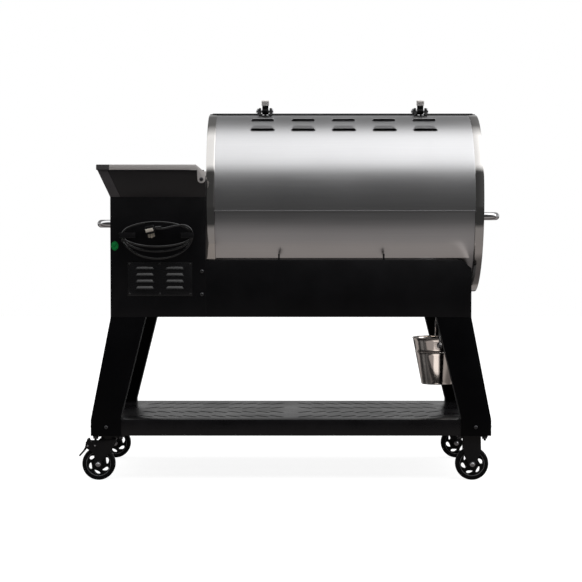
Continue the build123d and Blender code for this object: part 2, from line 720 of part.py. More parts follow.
with BuildPart() as fire_pot:
    rod((pot_x, 0, 582), (pot_x, 0, 700), pot_r)
    rod((pot_x, 0, 585), (pot_x, 0, 701), pot_r - 3, Mode.SUBTRACT)
    rod((pot_x, 0, auger_z), (pot_x + 60, 0, auger_z), auger_tube_r + 0.2, Mode.SUBTRACT)
    rod((pot_x, 0, duct_z), (pot_x + 60, 0, duct_z), duct_r + 0.2, Mode.SUBTRACT)
    rod((pot_x, igniter_y, duct_z), (pot_x + 60, igniter_y, duct_z), igniter_r + 0.2, Mode.SUBTRACT)
    for turn in range(2, 15):
        towards = Vector(cos(radians(22.5 * turn)), sin(radians(22.5 * turn)))
        outside = Vector(pot_x, 0, 612) + towards * 55
        rod(tuple(Vector(pot_x, 0, 612) + towards * 40), tuple(outside), 4, Mode.SUBTRACT)
fire_pot.part.label = "fire_pot"
export_step(fire_pot.part, "parts/fire_pot.step")

with BuildPart() as igniter_rod:
    rod((pot_x + 30, igniter_y, duct_z), (housing_in + 8, igniter_y, duct_z), igniter_r)
    rod((housing_in + sheet + 0.1, igniter_y, duct_z), (housing_in + 20, igniter_y, duct_z), 6.5)
igniter_rod.part.label = "igniter_rod"
export_step(igniter_rod.part, "parts/igniter_rod.step")

with BuildPart() as temperature_probe:
    rod((195, probe_y, probe_z), (housing_in + 8, probe_y, probe_z), probe_r)
    rod((housing_in + sheet + 0.1, probe_y, probe_z), (housing_in + 14, probe_y, probe_z), 6)
temperature_probe.part.label = "temperature_probe"
export_step(temperature_probe.part, "parts/temperature_probe.step")

deflector_half = 110.0
deflector_low = pot_x - 110
deflector_high = pot_x + 110

with BuildPart() as heat_deflector:
    block((deflector_low, -deflector_half, 704), (deflector_high, deflector_half, 707))
    for x in (deflector_low, deflector_high - 20):
        for y in (-deflector_half, deflector_half - 3):
            block((x, y, 600), (x + 20, y + 3, 705))
heat_deflector.part.label = "heat_deflector"
export_step(heat_deflector.part, "parts/heat_deflector.step")

tray_half = 236.0
tray_low_x = drain_x
tray_profile = [
    (240, 747), (240, 745), (tray_low_x, 715), (-577, 722), (-577, 724), (tray_low_x, 717),
]

with BuildPart() as grease_tray:
    with BuildSketch(Plane.XZ.offset(-tray_half)):
        with BuildLine():
            Polyline(*tray_profile, close=True)
        make_face()
    extrude(amount=2 * tray_half)
    for y in (-tray_half, tray_half - 2):
        with BuildSketch(Plane.XZ.offset(-y - 2)):
            with BuildLine():
                Polyline(
                    (240, 745), (tray_low_x, 715), (-577, 722), (-577, 738), (tray_low_x, 731), (240, 761),
                    close=True,
                )
            make_face()
        extrude(amount=2)
    block((tray_low_x - 12, -50, 705), (tray_low_x + 12, 50, 725), Mode.SUBTRACT)
grease_tray.part.label = "grease_tray"
export_step(grease_tray.part, "parts/grease_tray.step")

grate_width = 276.0
grate_gap = 3.5
grate_bottom = grate_ledge + 0.1

with BuildPart() as cooking_grates:
    with BuildSketch(Plane.XY.offset(grate_bottom)):
        with Locations((barrel_mid_x, 0)):
            with GridLocations(grate_width + grate_gap, 0, 3, 1):
                Rectangle(grate_width, 530)
            with GridLocations(grate_width + grate_gap, 0, 3, 1):
                with GridLocations(17, 172, 15, 3):
                    SlotOverall(158, 10, rotation=90, mode=Mode.SUBTRACT)
    extrude(amount=7)
cooking_grates.part.label = "cooking_grates"
export_step(cooking_grates.part, "parts/cooking_grates.step")

with BuildPart() as drain_tube:
    with BuildSketch(Plane(origin=(drain_x, 0, 0), x_dir=(1, 0, 0), z_dir=(0, -1, 0))):
        with BuildLine():
            Polyline(
                (drain_r - 2, 504), (drain_r, 504), (drain_r, 575.2), (24, 575.2), (62, 640), (60, 640),
                (22, 577.2), (drain_r - 2, 577.2), close=True,
            )
        make_face()
    revolve(axis=Axis((drain_x, 0, 0), (0, 0, 1)))
drain_tube.part.label = "drain_tube"
export_step(drain_tube.part, "parts/drain_tube.step")

# ---------------------------------------------------------------- grease bucket
hook_r = 5.0
hook_wire = 2.5
bucket_low_z = 272.6
bucket_low_r = 50.5
bucket_high_r = 78.5

with BuildPart() as bucket_hook:
    block((bucket_x - 12, -285, body_bottom + 2.8), (bucket_x + 8, 285, body_bottom + 5.8))
    with BuildLine(Plane.XZ) as hook_path:
        Line((bucket_x + hook_r, body_bottom + 4), (bucket_x + hook_r, hook_z))
        CenterArc((bucket_x, hook_z), hook_r, 0, -180)
        Line((bucket_x - hook_r, hook_z), (bucket_x - hook_r, hook_z + 3))
    with BuildSketch(Plane(origin=hook_path.line @ 0, z_dir=hook_path.line % 0)):
        Circle(hook_wire)
    sweep(path=hook_path.line)
bucket_hook.part.label = "bucket_hook"
export_step(bucket_hook.part, "parts/bucket_hook.step")

bail_seat = 5.0                 # half the straight length that sits in the hook
bail_bow = bail_r - bail_seat
bail_side_z = hook_z - bail_bow

with BuildPart() as bail:
    with BuildLine(Plane(origin=(bucket_x, 0, 0), x_dir=(0, 1, 0), z_dir=(1, 0, 0))) as bail_path:
        Line((76.5, bail_pin_z), (bail_r - 4, bail_pin_z))
        CenterArc((bail_r - 4, bail_pin_z + 4), 4, -90, 90)
        Line((bail_r, bail_pin_z + 4), (bail_r, bail_side_z))
        CenterArc((bail_seat, bail_side_z), bail_bow, 0, 90)
        Line((bail_seat, hook_z), (-bail_seat, hook_z))
        CenterArc((-bail_seat, bail_side_z), bail_bow, 90, 90)
        Line((-bail_r, bail_side_z), (-bail_r, bail_pin_z + 4))
        CenterArc((-bail_r + 4, bail_pin_z + 4), 4, 180, 90)
        Line((-bail_r + 4, bail_pin_z), (-76.5, bail_pin_z))
    with BuildSketch(Plane(origin=bail_path.line @ 0, z_dir=bail_path.line % 0)):
        Circle(bail_wire)
    sweep(path=bail_path.line)
bail.part.label = "bail"
export_step(bail.part, "parts/bail.step")

with BuildPart() as bucket:
    with BuildSketch(Plane(origin=(bucket_x, 0, 0), x_dir=(1, 0, 0), z_dir=(0, -1, 0))):
        with BuildLine():
            Polyline(
                (0, bucket_low_z), (bucket_low_r, bucket_low_z), (69.7, 374), (71.2, 376), (70.5, 378),
                (bucket_high_r, bucket_rim_z - 3), (80, bucket_rim_z - 2), (80, bucket_rim_z),
                (bucket_high_r - 1, bucket_rim_z), (bucket_low_r - 1, bucket_low_z + 1), (0, bucket_low_z + 1),
                close=True,
            )
        make_face()
    revolve(axis=Axis((bucket_x, 0, 0), (0, 0, 1)))
    for side in (-1, 1):
        plate = sorted((side * 78.3, side * 79.8))
        foot = sorted((side * 72.8, side * 79.8))
        block((bucket_x - 8, plate[0], 393), (bucket_x + 8, plate[1], 408))
        block((bucket_x - 8, foot[0], 391), (bucket_x + 8, foot[1], 394))
        inner = (bucket_x, side * 77, bail_pin_z)
        rod(inner, (bucket_x, side * 81, bail_pin_z), bail_wire + 0.05, Mode.SUBTRACT)
bucket.part.label = "bucket"
export_step(bucket.part, "parts/bucket.step")

# ---------------------------------------------------------------- handles, cord and controls
handle_tube = 12.5
handle_half = 75.0
bend = 30.0


def side_handle(wall_x, reach, z):
    """A U-shaped grab handle that stands out from a wall, with a round foot on each leg."""
    way = 1 if reach > 0 else -1
    out_x = wall_x + reach - way * handle_tube
    with BuildPart() as handle:
        with BuildLine() as path:
            Polyline(
                (wall_x, -handle_half, z), (out_x, -handle_half, z),
                (out_x, handle_half, z), (wall_x, handle_half, z),
            )
            fillet(path.vertices().group_by(Axis.X)[-1 if way > 0 else 0], bend)
        with BuildSketch(Plane(origin=(wall_x, -handle_half, z), z_dir=(way, 0, 0))):
            Circle(handle_tube)
        sweep(path=path.line)
        for y in (-handle_half, handle_half):
            rod((wall_x, y, z), (wall_x + way * 3, y, z), 19)
    return handle.part


with BuildPart() as side_handles:
    add(side_handle(body_half + 0.1, 66, 786))
    add(side_handle(barrel_low_x - 0.1, -75, 810))
side_handles.part.label = "side_handles"
export_step(side_handles.part, "parts/side_handles.step")

peg_z = 751.0
peg_half = 8.0
peg_end = 346.0
peg_stems = (500.0, 309.0)
peg_lips = ((468.0, 516.0), (293.0, 332.0))

with BuildPart() as cord_hooks:
    for stem, lip in zip(peg_stems, peg_lips):
        block((stem - 1.5, housing_y + 0.1, peg_z - peg_half), (stem + 1.5, peg_end, peg_z + peg_half))
        block((lip[0], peg_end - 3, peg_z - peg_half), (lip[1], peg_end, peg_z + peg_half))
        block((stem - 14, housing_y + 0.1, peg_z - peg_half), (stem + 8, housing_y + 3.1, peg_z + peg_half))
cord_hooks.part.label = "cord_hooks"
export_step(cord_hooks.part, "parts/cord_hooks.step")

cord_r = 3.5
cord_mid_x = 404.5
cord_half = 106.0
cord_rise = 40.0
cord_sags = (71.0, 48.0, 39.0)  # how far each turn hangs under the pegs
cord_steps = 12

gland = (cord_mid_x + cord_half - 3, housing_y + 5, peg_z - 16)
cord_points = [gland]
for step in range(-2, 2 * cord_steps + 4):
    turn = 360 / cord_steps * step
    sag = cord_sags[min(max(step + 3, 0) // cord_steps, 2)]
    height = -cos(radians(turn))
    cord_points.append((
        cord_mid_x - cord_half * sin(radians(turn)),
        303 + 10 * (step + 3) / cord_steps,
        peg_z + height * (cord_rise if height > 0 else sag),
    ))
tail_y = cord_points[-1][1] + 3
tail_xz = ((303, 770), (322, 781), (350, 779), (382, 772), (406, 773))
cord_points += [(x, tail_y, z) for x, z in tail_xz]

with BuildPart() as power_cord:
    with BuildLine() as cord_path:
        Spline(*cord_points)
    with BuildSketch(Plane(origin=cord_path.line @ 0, z_dir=cord_path.line % 0)):
        Circle(cord_r)
    sweep(path=cord_path.line)
    rod((gland[0], housing_y + 0.1, gland[2]), (gland[0], housing_y + 9, gland[2]), 7)
    with Locations(Location((424, tail_y, 766), (0, 12, 0))):
        Box(36, 16, 26)
        with Locations((4, 0, -21)):
            Box(1.6, 6.3, 18)
        with Locations((-8, 0, -21)):
            Box(1.6, 6.3, 18)
power_cord.part.label = "power_cord"
export_step(power_cord.part, "parts/power_cord.step")

panel_face = -housing_y - 0.1
panel_out = panel_face - 3

with BuildPart() as control_panel:
    block((panel_low[0], panel_out, panel_low[1]), (panel_high[0], panel_face, panel_high[1]))
    block((345, panel_out - 1, 790), (470, panel_out + 1, 830), Mode.SUBTRACT)
    rod((knob_x, panel_out - 1, controls_z), (knob_x, panel_face + 1, controls_z), 3.05, Mode.SUBTRACT)
    rod((button_x, panel_out - 1, controls_z), (button_x, panel_face + 1, controls_z), 9.05, Mode.SUBTRACT)
control_panel.part.label = "control_panel"
export_step(control_panel.part, "parts/control_panel.step")

with BuildPart() as control_knob:
    rod((knob_x, panel_out - 18, controls_z), (knob_x, panel_out - 0.3, controls_z), 20)
    fillet(control_knob.faces().sort_by(Axis.Y)[0].edges(), 2)
    rod((knob_x, panel_out - 1, controls_z), (knob_x, panel_face + 12, controls_z), 3)
    block((knob_x - 1.2, panel_out - 18.6, controls_z + 6), (knob_x + 1.2, panel_out - 17, controls_z + 17))
control_knob.part.label = "control_knob"
export_step(control_knob.part, "parts/control_knob.step")

with BuildPart() as power_button:
    rod((button_x, panel_out - 3.5, controls_z), (button_x, panel_face + 0.2, controls_z), 9)
    rod((button_x, panel_face + 0.1, controls_z), (button_x, panel_face + 2, controls_z), 11)
power_button.part.label = "power_button"
export_step(power_button.part, "parts/power_button.step")

# ---------------------------------------------------------------- screws
screw_places = []
for x in (-1, 1):
    for y in (-1, 1):
        screw_places.append(Plane(origin=(x * rear_screw_x, y * face_y, foot_screw_z), z_dir=(0, y, 0)))
        screw_places.append(Plane(origin=(x * foot_half, y * side_screw_y, foot_screw_z), z_dir=(x, 0, 0)))
for y in (-1, 1):
    screw_places.append(Plane(origin=(lid_pivot_x, y * hopper_lid_y, lid_pivot_z), z_dir=(0, y, 0)))
    for z in housing_screw_zs:
        screw_places.append(Plane(origin=(housing_screw_x, y * housing_y, z), z_dir=(0, y, 0)))

nut_r = 7.5
bolt_low = 123.0
plate_low = shelf_bottom - 3.1

with BuildPart(*screw_places) as button_screws:
    with Locations((0, 0, 0.2)):
        Cylinder(6, 3.3, align=(Align.CENTER, Align.CENTER, Align.MIN))
        Cylinder(screw_r, 14, align=(Align.CENTER, Align.CENTER, Align.MAX))

with BuildPart() as screws:
    add(button_screws.part)
    for x, y in bolt_places():
        rod((x, y, bolt_low), (x, y, shelf_bottom + 5), bolt_r)
        with BuildSketch(Plane.XY.offset(shelf_bottom + 3.1)):
            with Locations((x, y)):
                RegularPolygon(nut_r, 6)
        extrude(amount=5)
        with BuildSketch(Plane.XY.offset(plate_low - 6.6)):
            with Locations((x, y)):
                RegularPolygon(nut_r, 6)
        extrude(amount=6.5)
screws.part.label = "screws"
export_step(screws.part, "parts/screws.step")

# ---------------------------------------------------------------- casters
caster_low = plate_low
plate_top = shelf_bottom - 0.1
fork_in = 19.0
fork_out = 21.5
axle_r = 5.0
swivel_wheel_x = swivel_x + trail
brake_x = 600.0
brake_z = 108.0
rivet_x = 622.0


def wheel(first_opening, lean):
    """A wheel turned about Y, with six slanted openings round its web."""
    with BuildPart() as turned:
        with BuildSketch(Plane.XY):
            with BuildLine():
                Polyline(
                    (axle_r + 0.05, -18.5), (12, -18.5), (12, -12), (36, -12), (38, -16), (47, -16), (wheel_r, -11),
                    (wheel_r, 11), (47, 16), (38, 16), (36, 12), (12, 12), (12, 18.5), (axle_r + 0.05, 18.5),
                    close=True,
                )
            make_face()
        revolve(axis=Axis.Y)
        with BuildSketch(Plane.XZ):
            with PolarLocations(26, 6, start_angle=first_opening):
                with Locations(Location((0, 0), lean)):
                    SlotOverall(21, 10)
        extrude(amount=20, both=True, mode=Mode.SUBTRACT)
    return turned.part


fixed_wheel = wheel(45, 68)
swivel_wheel = wheel(41.5, 110)

for name, x, y, turned in (
    ("wheel_fixed_rear", fixed_x, caster_y, fixed_wheel),
    ("wheel_fixed_front", fixed_x, -caster_y, fixed_wheel),
    ("wheel_swivel_rear", swivel_wheel_x, caster_y, swivel_wheel),
    ("wheel_swivel_front", swivel_wheel_x, -caster_y, swivel_wheel),
):
    with BuildPart() as placed:
        add(Pos(x, y, wheel_r) * turned)
    placed.part.label = name
    export_step(placed.part, f"parts/{name}.step")

with BuildPart() as rigid_forks:
    for y in (-caster_y, caster_y):
        block((fixed_x - 46, y - 33, caster_low), (fixed_x + 46, y + 33, plate_top))
        for low_y in (y + fork_in, y - fork_out):
            with BuildSketch(Plane.XZ.offset(-low_y - fork_out + fork_in)):
                with BuildLine():
                    Polyline(
                        (fixed_x - 26, caster_low), (fixed_x + 26, caster_low), (fixed_x + 27, 92),
                        (fixed_x + 22, 76), (fixed_x + 12, wheel_r), (fixed_x - 12, wheel_r),
                        (fixed_x - 22, 76), (fixed_x - 27, 92), close=True,
                    )
                make_face()
                with Locations((fixed_x, wheel_r)):
                    Circle(12)
            extrude(amount=fork_out - fork_in)
        rod((fixed_x, y - fork_out - 3, wheel_r), (fixed_x, y + fork_out + 3, wheel_r), axle_r)
        for low_y in (y + fork_out, y - fork_out - 4):
            rod((fixed_x, low_y, wheel_r), (fixed_x, low_y + 4, wheel_r), 8)
    bolt_holes(caster_low - 1, plate_top + 1)
rigid_forks.part.label = "rigid_forks"
export_step(rigid_forks.part, "parts/rigid_forks.step")

with BuildPart() as swivel_plates:
    for y in (-caster_y, caster_y):
        block((swivel_x - 46, y - 28, caster_low), (swivel_x + 46, y + 28, plate_top))
        rod((swivel_x, y, 128), (swivel_x, y, caster_low), 23)
        rod((swivel_x, y, 118), (swivel_x, y, 130), 5)
        rod((swivel_x, y, 118), (swivel_x, y, 121.8), 9)
    bolt_holes(caster_low - 1, plate_top + 1)
swivel_plates.part.label = "swivel_plates"
export_step(swivel_plates.part, "parts/swivel_plates.step")

for end, y in (("rear", caster_y), ("front", -caster_y)):
    with BuildPart() as swivel_fork:
        block((swivel_x - 24, y - fork_out, 122), (brake_x - 16, y + fork_out, 127.9))
        rod((swivel_x, y, 121), (swivel_x, y, 129), 5.05, Mode.SUBTRACT)
        for low_y in (y + fork_in, y - fork_out):
            with BuildSketch(Plane.XZ.offset(-low_y - fork_out + fork_in)):
                with BuildLine():
                    Polyline(
                        (swivel_x - 22, 127.9), (brake_x - 14, 127.9), (brake_x - 8, 119.5), (628, 119.5),
                        (630, 101), (brake_x + 3, 84), (swivel_wheel_x + 12, wheel_r),
                        (swivel_wheel_x - 12, wheel_r), (swivel_wheel_x - 13, 64), (565, 75), (552, 90),
                        (542, 108), close=True,
                    )
                make_face()
                with Locations((swivel_wheel_x, wheel_r)):
                    Circle(12)
            extrude(amount=fork_out - fork_in)
        rod((swivel_wheel_x, y - fork_out - 3, wheel_r), (swivel_wheel_x, y + fork_out + 3, wheel_r), axle_r)
        for low_y in (y + fork_out, y - fork_out - 4):
            rod((swivel_wheel_x, low_y, wheel_r), (swivel_wheel_x, low_y + 4, wheel_r), 8)
        rod((brake_x, y - fork_out - 1.5, brake_z), (brake_x, y + fork_out + 1.5, brake_z), 3)
        for low_y in (y + fork_out, y - fork_out - 1.5):
            rod((rivet_x, low_y, 107), (rivet_x, low_y + 1.5, 107), 3)
    swivel_fork.part.label = f"swivel_fork_{end}"
    export_step(swivel_fork.part, f"parts/swivel_fork_{end}.step")

    with BuildPart() as brake_lever:
        with BuildSketch(Plane.XZ.offset(-y - 18)):
            with Locations((brake_x, brake_z)):
                Circle(5.5)
            with BuildLine():
                Polyline(
                    (brake_x, brake_z + 5.5), (616, 117), (620, 127), (624, 127), (631.5, 101), (637, 92),
                    (650, 77), (646.5, 73.5), (633, 88), (627, 98), (617, 98), (brake_x, brake_z - 5.5),
                    close=True,
                )
            make_face()
            with Locations((brake_x, brake_z)):
                Circle(3.05, mode=Mode.SUBTRACT)
        extrude(amount=36)
    brake_lever.part.label = f"brake_lever_{end}"
    export_step(brake_lever.part, f"parts/brake_lever_{end}.step")
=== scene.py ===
import bmesh
import bpy
import json
from contextlib import contextmanager
from math import acos, atan, cos, degrees, pi, radians, sin, tan
from mathutils import Matrix, Vector
from mathutils.geometry import tessellate_polygon

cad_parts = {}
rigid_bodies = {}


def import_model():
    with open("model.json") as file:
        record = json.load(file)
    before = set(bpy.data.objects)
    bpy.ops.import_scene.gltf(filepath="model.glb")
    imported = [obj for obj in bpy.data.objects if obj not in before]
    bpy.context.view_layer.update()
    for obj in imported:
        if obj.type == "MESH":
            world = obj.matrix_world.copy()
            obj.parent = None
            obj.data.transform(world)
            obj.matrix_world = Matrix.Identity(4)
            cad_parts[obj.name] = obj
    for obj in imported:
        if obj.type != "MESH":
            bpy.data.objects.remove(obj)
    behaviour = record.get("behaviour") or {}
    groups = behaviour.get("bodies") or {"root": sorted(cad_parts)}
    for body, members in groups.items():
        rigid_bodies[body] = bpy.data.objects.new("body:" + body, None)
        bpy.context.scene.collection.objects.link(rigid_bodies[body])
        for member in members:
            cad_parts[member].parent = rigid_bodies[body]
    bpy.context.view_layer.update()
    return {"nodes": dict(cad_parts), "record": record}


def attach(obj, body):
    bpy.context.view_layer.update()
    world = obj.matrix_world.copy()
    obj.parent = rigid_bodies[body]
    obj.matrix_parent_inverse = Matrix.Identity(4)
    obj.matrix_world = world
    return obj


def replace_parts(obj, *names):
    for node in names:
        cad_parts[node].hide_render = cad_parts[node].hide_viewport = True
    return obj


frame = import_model()
nodes = frame["nodes"]

# The barrel, in metres; the same numbers as the CAD source.
R = 0.2805
BZ = 0.851
X0, X1 = -0.587, 0.258
XM = (X0 + X1) / 2


def on_barrel(deg, r):
    a = radians(deg)
    return r * cos(a), BZ + r * sin(a)


# ---------------- node helpers
class Tree:
    """Short forms for building a material's node tree."""

    def __init__(self, name, world=False):
        self.mat = (bpy.data.worlds if world else bpy.data.materials).new(name)
        self.mat.use_nodes = True
        self.t = self.mat.node_tree
        self.t.nodes.clear()
        self.out = self.t.nodes.new("ShaderNodeOutputWorld" if world else "ShaderNodeOutputMaterial")

    def node(self, kind, **values):
        n = self.t.nodes.new(kind)
        for k, v in values.items():
            if hasattr(n, k):
                setattr(n, k, v)
            else:
                n.inputs[k.replace("_", " ")].default_value = v
        return n

    def link(self, a, b):
        self.t.links.new(a, b)

    def coords(self, scale=(1, 1, 1), rotation=(0, 0, 0)):
        tc = self.node("ShaderNodeTexCoord")
        mp = self.node("ShaderNodeMapping")
        mp.inputs["Scale"].default_value = scale
        mp.inputs["Rotation"].default_value = rotation
        self.link(tc.outputs["Object"], mp.inputs["Vector"])
        return mp.outputs["Vector"]

    def noise(self, vector, scale, detail=2.0, rough=0.5):
        n = self.node("ShaderNodeTexNoise")
        n.inputs["Scale"].default_value = scale
        n.inputs["Detail"].default_value = detail
        n.inputs["Roughness"].default_value = rough
        self.link(vector, n.inputs["Vector"])
        return n.outputs["Fac"]

    def ramp(self, fac, stops):
        n = self.node("ShaderNodeValToRGB")
        while len(n.color_ramp.elements) < len(stops):
            n.color_ramp.elements.new(0.5)
        for e, (p, c) in zip(n.color_ramp.elements, stops):
            e.position = p
            e.color = (c, c, c, 1) if not isinstance(c, tuple) else (*c[:3], 1)
        self.link(fac, n.inputs["Fac"])
        return n.outputs["Color"]

    def span(self, fac, low, high, start=0.0, end=1.0):
        n = self.node("ShaderNodeMapRange")
        for k, v in (("From Min", start), ("From Max", end), ("To Min", low), ("To Max", high)):
            n.inputs[k].default_value = v
        self.link(fac, n.inputs["Value"])
        return n.outputs["Result"]

    def math(self, op, a, b=None, clamp=False):
        n = self.node("ShaderNodeMath", operation=op, use_clamp=clamp)
        for i, v in enumerate((a, b)):
            if v is None:
                continue
            if isinstance(v, (int, float)):
                n.inputs[i].default_value = v
            else:
                self.link(v, n.inputs[i])
        return n.outputs[0]

    def blend(self, first, second):
        """The sum of two ranges; each is given as the arguments of span."""
        return self.math("ADD", self.span(*first), self.span(*second))

    def mix(self, fac, a, b):
        n = self.node("ShaderNodeMix", data_type="RGBA")
        for key, v in (("Factor", fac), ("A", a), ("B", b)):
            i = [s for s in n.inputs if s.name == key and s.type in ("RGBA", "VALUE") and s.enabled][0]
            if isinstance(v, tuple):
                i.default_value = (*v[:3], 1)
            elif isinstance(v, (int, float)):
                i.default_value = v
            else:
                self.link(v, i)
        return [s for s in n.outputs if s.enabled][0]

    def bump(self, height, strength, distance, normal=None):
        n = self.node("ShaderNodeBump")
        n.inputs["Strength"].default_value = strength
        n.inputs["Distance"].default_value = distance
        self.link(height, n.inputs["Height"])
        if normal is not None:
            self.link(normal, n.inputs["Normal"])
        return n.outputs["Normal"]

    def principled(self, **values):
        n = self.node("ShaderNodeBsdfPrincipled")
        for k, v in values.items():
            i = n.inputs[k.replace("_", " ")]
            if isinstance(v, (int, float)):
                i.default_value = v
            elif isinstance(v, tuple):
                i.default_value = (*v[:3], 1) if i.type == "RGBA" else v
            else:
                self.link(v, i)
        self.link(n.outputs["BSDF"], self.out.inputs["Surface"])
        return self.mat

    def emission(self, colour, strength=1.0):
        n = self.node("ShaderNodeEmission", Strength=strength)
        if isinstance(colour, tuple):
            n.inputs["Color"].default_value = (*colour, 1)
        else:
            self.link(colour, n.inputs["Color"])
        return n

    def by_ray(self, camera, others):
        """One shader for what the camera sees directly, the other for every other ray."""
        n = self.node("ShaderNodeMixShader")
        self.link(self.node("ShaderNodeLightPath").outputs["Is Camera Ray"], n.inputs[0])
        self.link(others.outputs[0], n.inputs[1])
        self.link(camera.outputs[0], n.inputs[2])
        self.link(n.outputs[0], self.out.inputs["Surface"])


def toned(base, factor, lift=0.0):
    """A colour made darker or lighter, and kept in range."""
    return tuple(min(1.0, c * factor + lift) for c in base)


def edge_mask(t, radius=0.0012):
    """White along the piece's edges, for wear."""
    bev = t.node("ShaderNodeBevel", samples=4)
    bev.inputs["Radius"].default_value = radius
    geo = t.node("ShaderNodeNewGeometry")
    dot = t.node("ShaderNodeVectorMath", operation="DOT_PRODUCT")
    t.link(bev.outputs["Normal"], dot.inputs[0])
    t.link(geo.outputs["Normal"], dot.inputs[1])
    return t.span(dot.outputs["Value"], 1.0, 0.0, 0.75, 0.995)


def powder(name, base, rough=0.42, grain=1100.0, bump=0.16, spec=0.5):
    """Powder coat: fine orange peel, faint cloudiness and slightly rubbed edges."""
    t = Tree(name)
    v = t.coords()
    peel = t.noise(v, grain, 2.0, 0.55)
    cloud = t.noise(v, 7.0, 3.0, 0.6)
    speck = t.noise(v, grain * 2.6, 1.0)
    col = t.mix(t.span(cloud, 0.0, 1.0, 0.3, 0.7), toned(base, 0.75), toned(base, 1.45))
    col = t.mix(t.span(speck, 0.0, 0.35, 0.55, 0.8), col, toned(base, 2.6, 0.004))
    wear = t.math("MULTIPLY", edge_mask(t), t.span(t.noise(v, 60.0, 3.0), 0.0, 0.7, 0.42, 0.72), True)
    col = t.mix(wear, col, toned(base, 3.0, 0.02))
    r = t.blend((cloud, rough - 0.05, rough + 0.07, 0.3, 0.7), (peel, -0.04, 0.04, 0.3, 0.7))
    n = t.bump(peel, bump, 0.0005)
    return t.principled(Base_Color=col, Roughness=r, Normal=n, Specular_IOR_Level=spec)


def brushed(name, base, lines=(5.0, 1500.0, 1500.0), rough=0.27, depth=0.25, metal=1.0):
    """Brushed stainless sheet; the grain runs along the axis whose scale is small."""
    t = Tree(name)
    fine = t.noise(t.coords(lines), 1.0, 3.0, 0.6)
    wide = t.noise(t.coords(tuple(line * 0.22 for line in lines)), 1.0, 2.0, 0.5)
    smudge = t.noise(t.coords(), 4.5, 3.0, 0.55)
    grain = t.math("ADD", t.math("MULTIPLY", fine, 0.8), t.math("MULTIPLY", wide, 0.2))
    col = t.mix(t.span(grain, 0.0, 1.0, 0.32, 0.68), toned(base, 0.93), toned(base, 1.06))
    col = t.mix(t.span(smudge, 0.0, 0.12, 0.45, 0.75), col, toned(base, 0.88))
    r = t.blend((grain, rough - 0.03, rough + 0.04, 0.3, 0.7), (smudge, -0.012, 0.02, 0.35, 0.7))
    n = t.bump(grain, depth, 0.00012)
    return t.principled(Base_Color=col, Metallic=metal, Roughness=r, Normal=n)


def polished(name, base, rough=0.09):
    """Polished metal with hairline scratches and faint smears."""
    t = Tree(name)
    hair = t.noise(t.coords((60.0, 2600.0, 900.0), (0.3, 0.2, 0.5)), 1.0, 3.0)
    smear = t.noise(t.coords(), 14.0, 4.0, 0.6)
    r = t.blend((hair, rough - 0.03, rough + 0.05, 0.35, 0.7), (smear, 0.0, 0.05, 0.45, 0.75))
    col = t.mix(t.span(smear, 0.0, 0.3, 0.4, 0.8), base, toned(base, 0.88))
    n = t.bump(hair, 0.05, 0.00005)
    return t.principled(Base_Color=col, Metallic=1.0, Roughness=r, Normal=n)


def moulded(name, base, rough=0.4, grain=700.0, depth=0.2, spec=0.5):
    """Moulded plastic or rubber with a spark-eroded texture."""
    t = Tree(name)
    v = t.coords()
    cell = t.node("ShaderNodeTexVoronoi", feature="F1")
    cell.inputs["Scale"].default_value = grain
    t.link(v, cell.inputs["Vector"])
    broad = t.noise(v, 25.0, 4.0, 0.6)
    fine = t.noise(v, grain * 1.7, 2.0)
    col = t.mix(t.span(broad, 0.0, 1.0, 0.3, 0.72), toned(base, 0.8), toned(base, 1.25))
    wear = t.math("MULTIPLY", edge_mask(t, 0.0009), t.span(broad, 0.0, 0.6, 0.4, 0.7), True)
    col = t.mix(wear, col, toned(base, 1.8, 0.015))
    r = t.blend((broad, rough - 0.06, rough + 0.08, 0.3, 0.7), (fine, -0.03, 0.03))
    n = t.bump(cell.outputs["Distance"], depth, 0.0003, t.bump(fine, depth * 0.5, 0.0002))
    return t.principled(Base_Color=col, Roughness=r, Normal=n, Specular_IOR_Level=spec)


def galvanised(name, base=(0.42, 0.43, 0.44)):
    """Zinc-coated sheet with its spangle."""
    t = Tree(name)
    v = t.coords()
    cell = t.node("ShaderNodeTexVoronoi", feature="F1")
    cell.inputs["Scale"].default_value = 75.0
    t.link(v, cell.inputs["Vector"])
    tone = t.node("ShaderNodeSeparateColor")
    t.link(cell.outputs["Color"], tone.inputs["Color"])
    fine = t.noise(v, 400.0, 3.0)
    col = t.mix(tone.outputs[0], toned(base, 0.8), toned(base, 1.2))
    r = t.blend((tone.outputs[1], 0.28, 0.46), (fine, -0.03, 0.05))
    return t.principled(Base_Color=col, Metallic=1.0, Roughness=r, Normal=t.bump(fine, 0.12, 0.0002))


def enamel(name, base=(0.012, 0.012, 0.013)):
    """Porcelain enamel over cast iron: glossy, with fine sag and pinholes."""
    t = Tree(name)
    v = t.coords()
    sag = t.noise(v, 90.0, 3.0, 0.6)
    pin = t.noise(v, 1400.0, 1.0)
    col = t.mix(t.span(pin, 0.0, 1.0, 0.62, 0.75), base, (0.09, 0.088, 0.085))
    r = t.span(sag, 0.14, 0.34, 0.3, 0.7)
    n = t.bump(sag, 0.25, 0.0006)
    return t.principled(Base_Color=col, Roughness=r, Normal=n, Coat_Weight=0.4, Coat_Roughness=0.12)


def baked(name, base=(0.03, 0.029, 0.028), rough=0.6):
    """High-temperature paint with a trace of heat bloom."""
    t = Tree(name)
    v = t.coords()
    bloom = t.noise(v, 11.0, 4.0, 0.65)
    grit = t.noise(v, 900.0, 2.0)
    col = t.mix(t.span(bloom, 0.0, 1.0, 0.35, 0.7), base, (0.06, 0.05, 0.043))
    r = t.span(bloom, rough - 0.1, rough + 0.12, 0.3, 0.7)
    return t.principled(Base_Color=col, Roughness=r, Normal=t.bump(grit, 0.2, 0.0004))


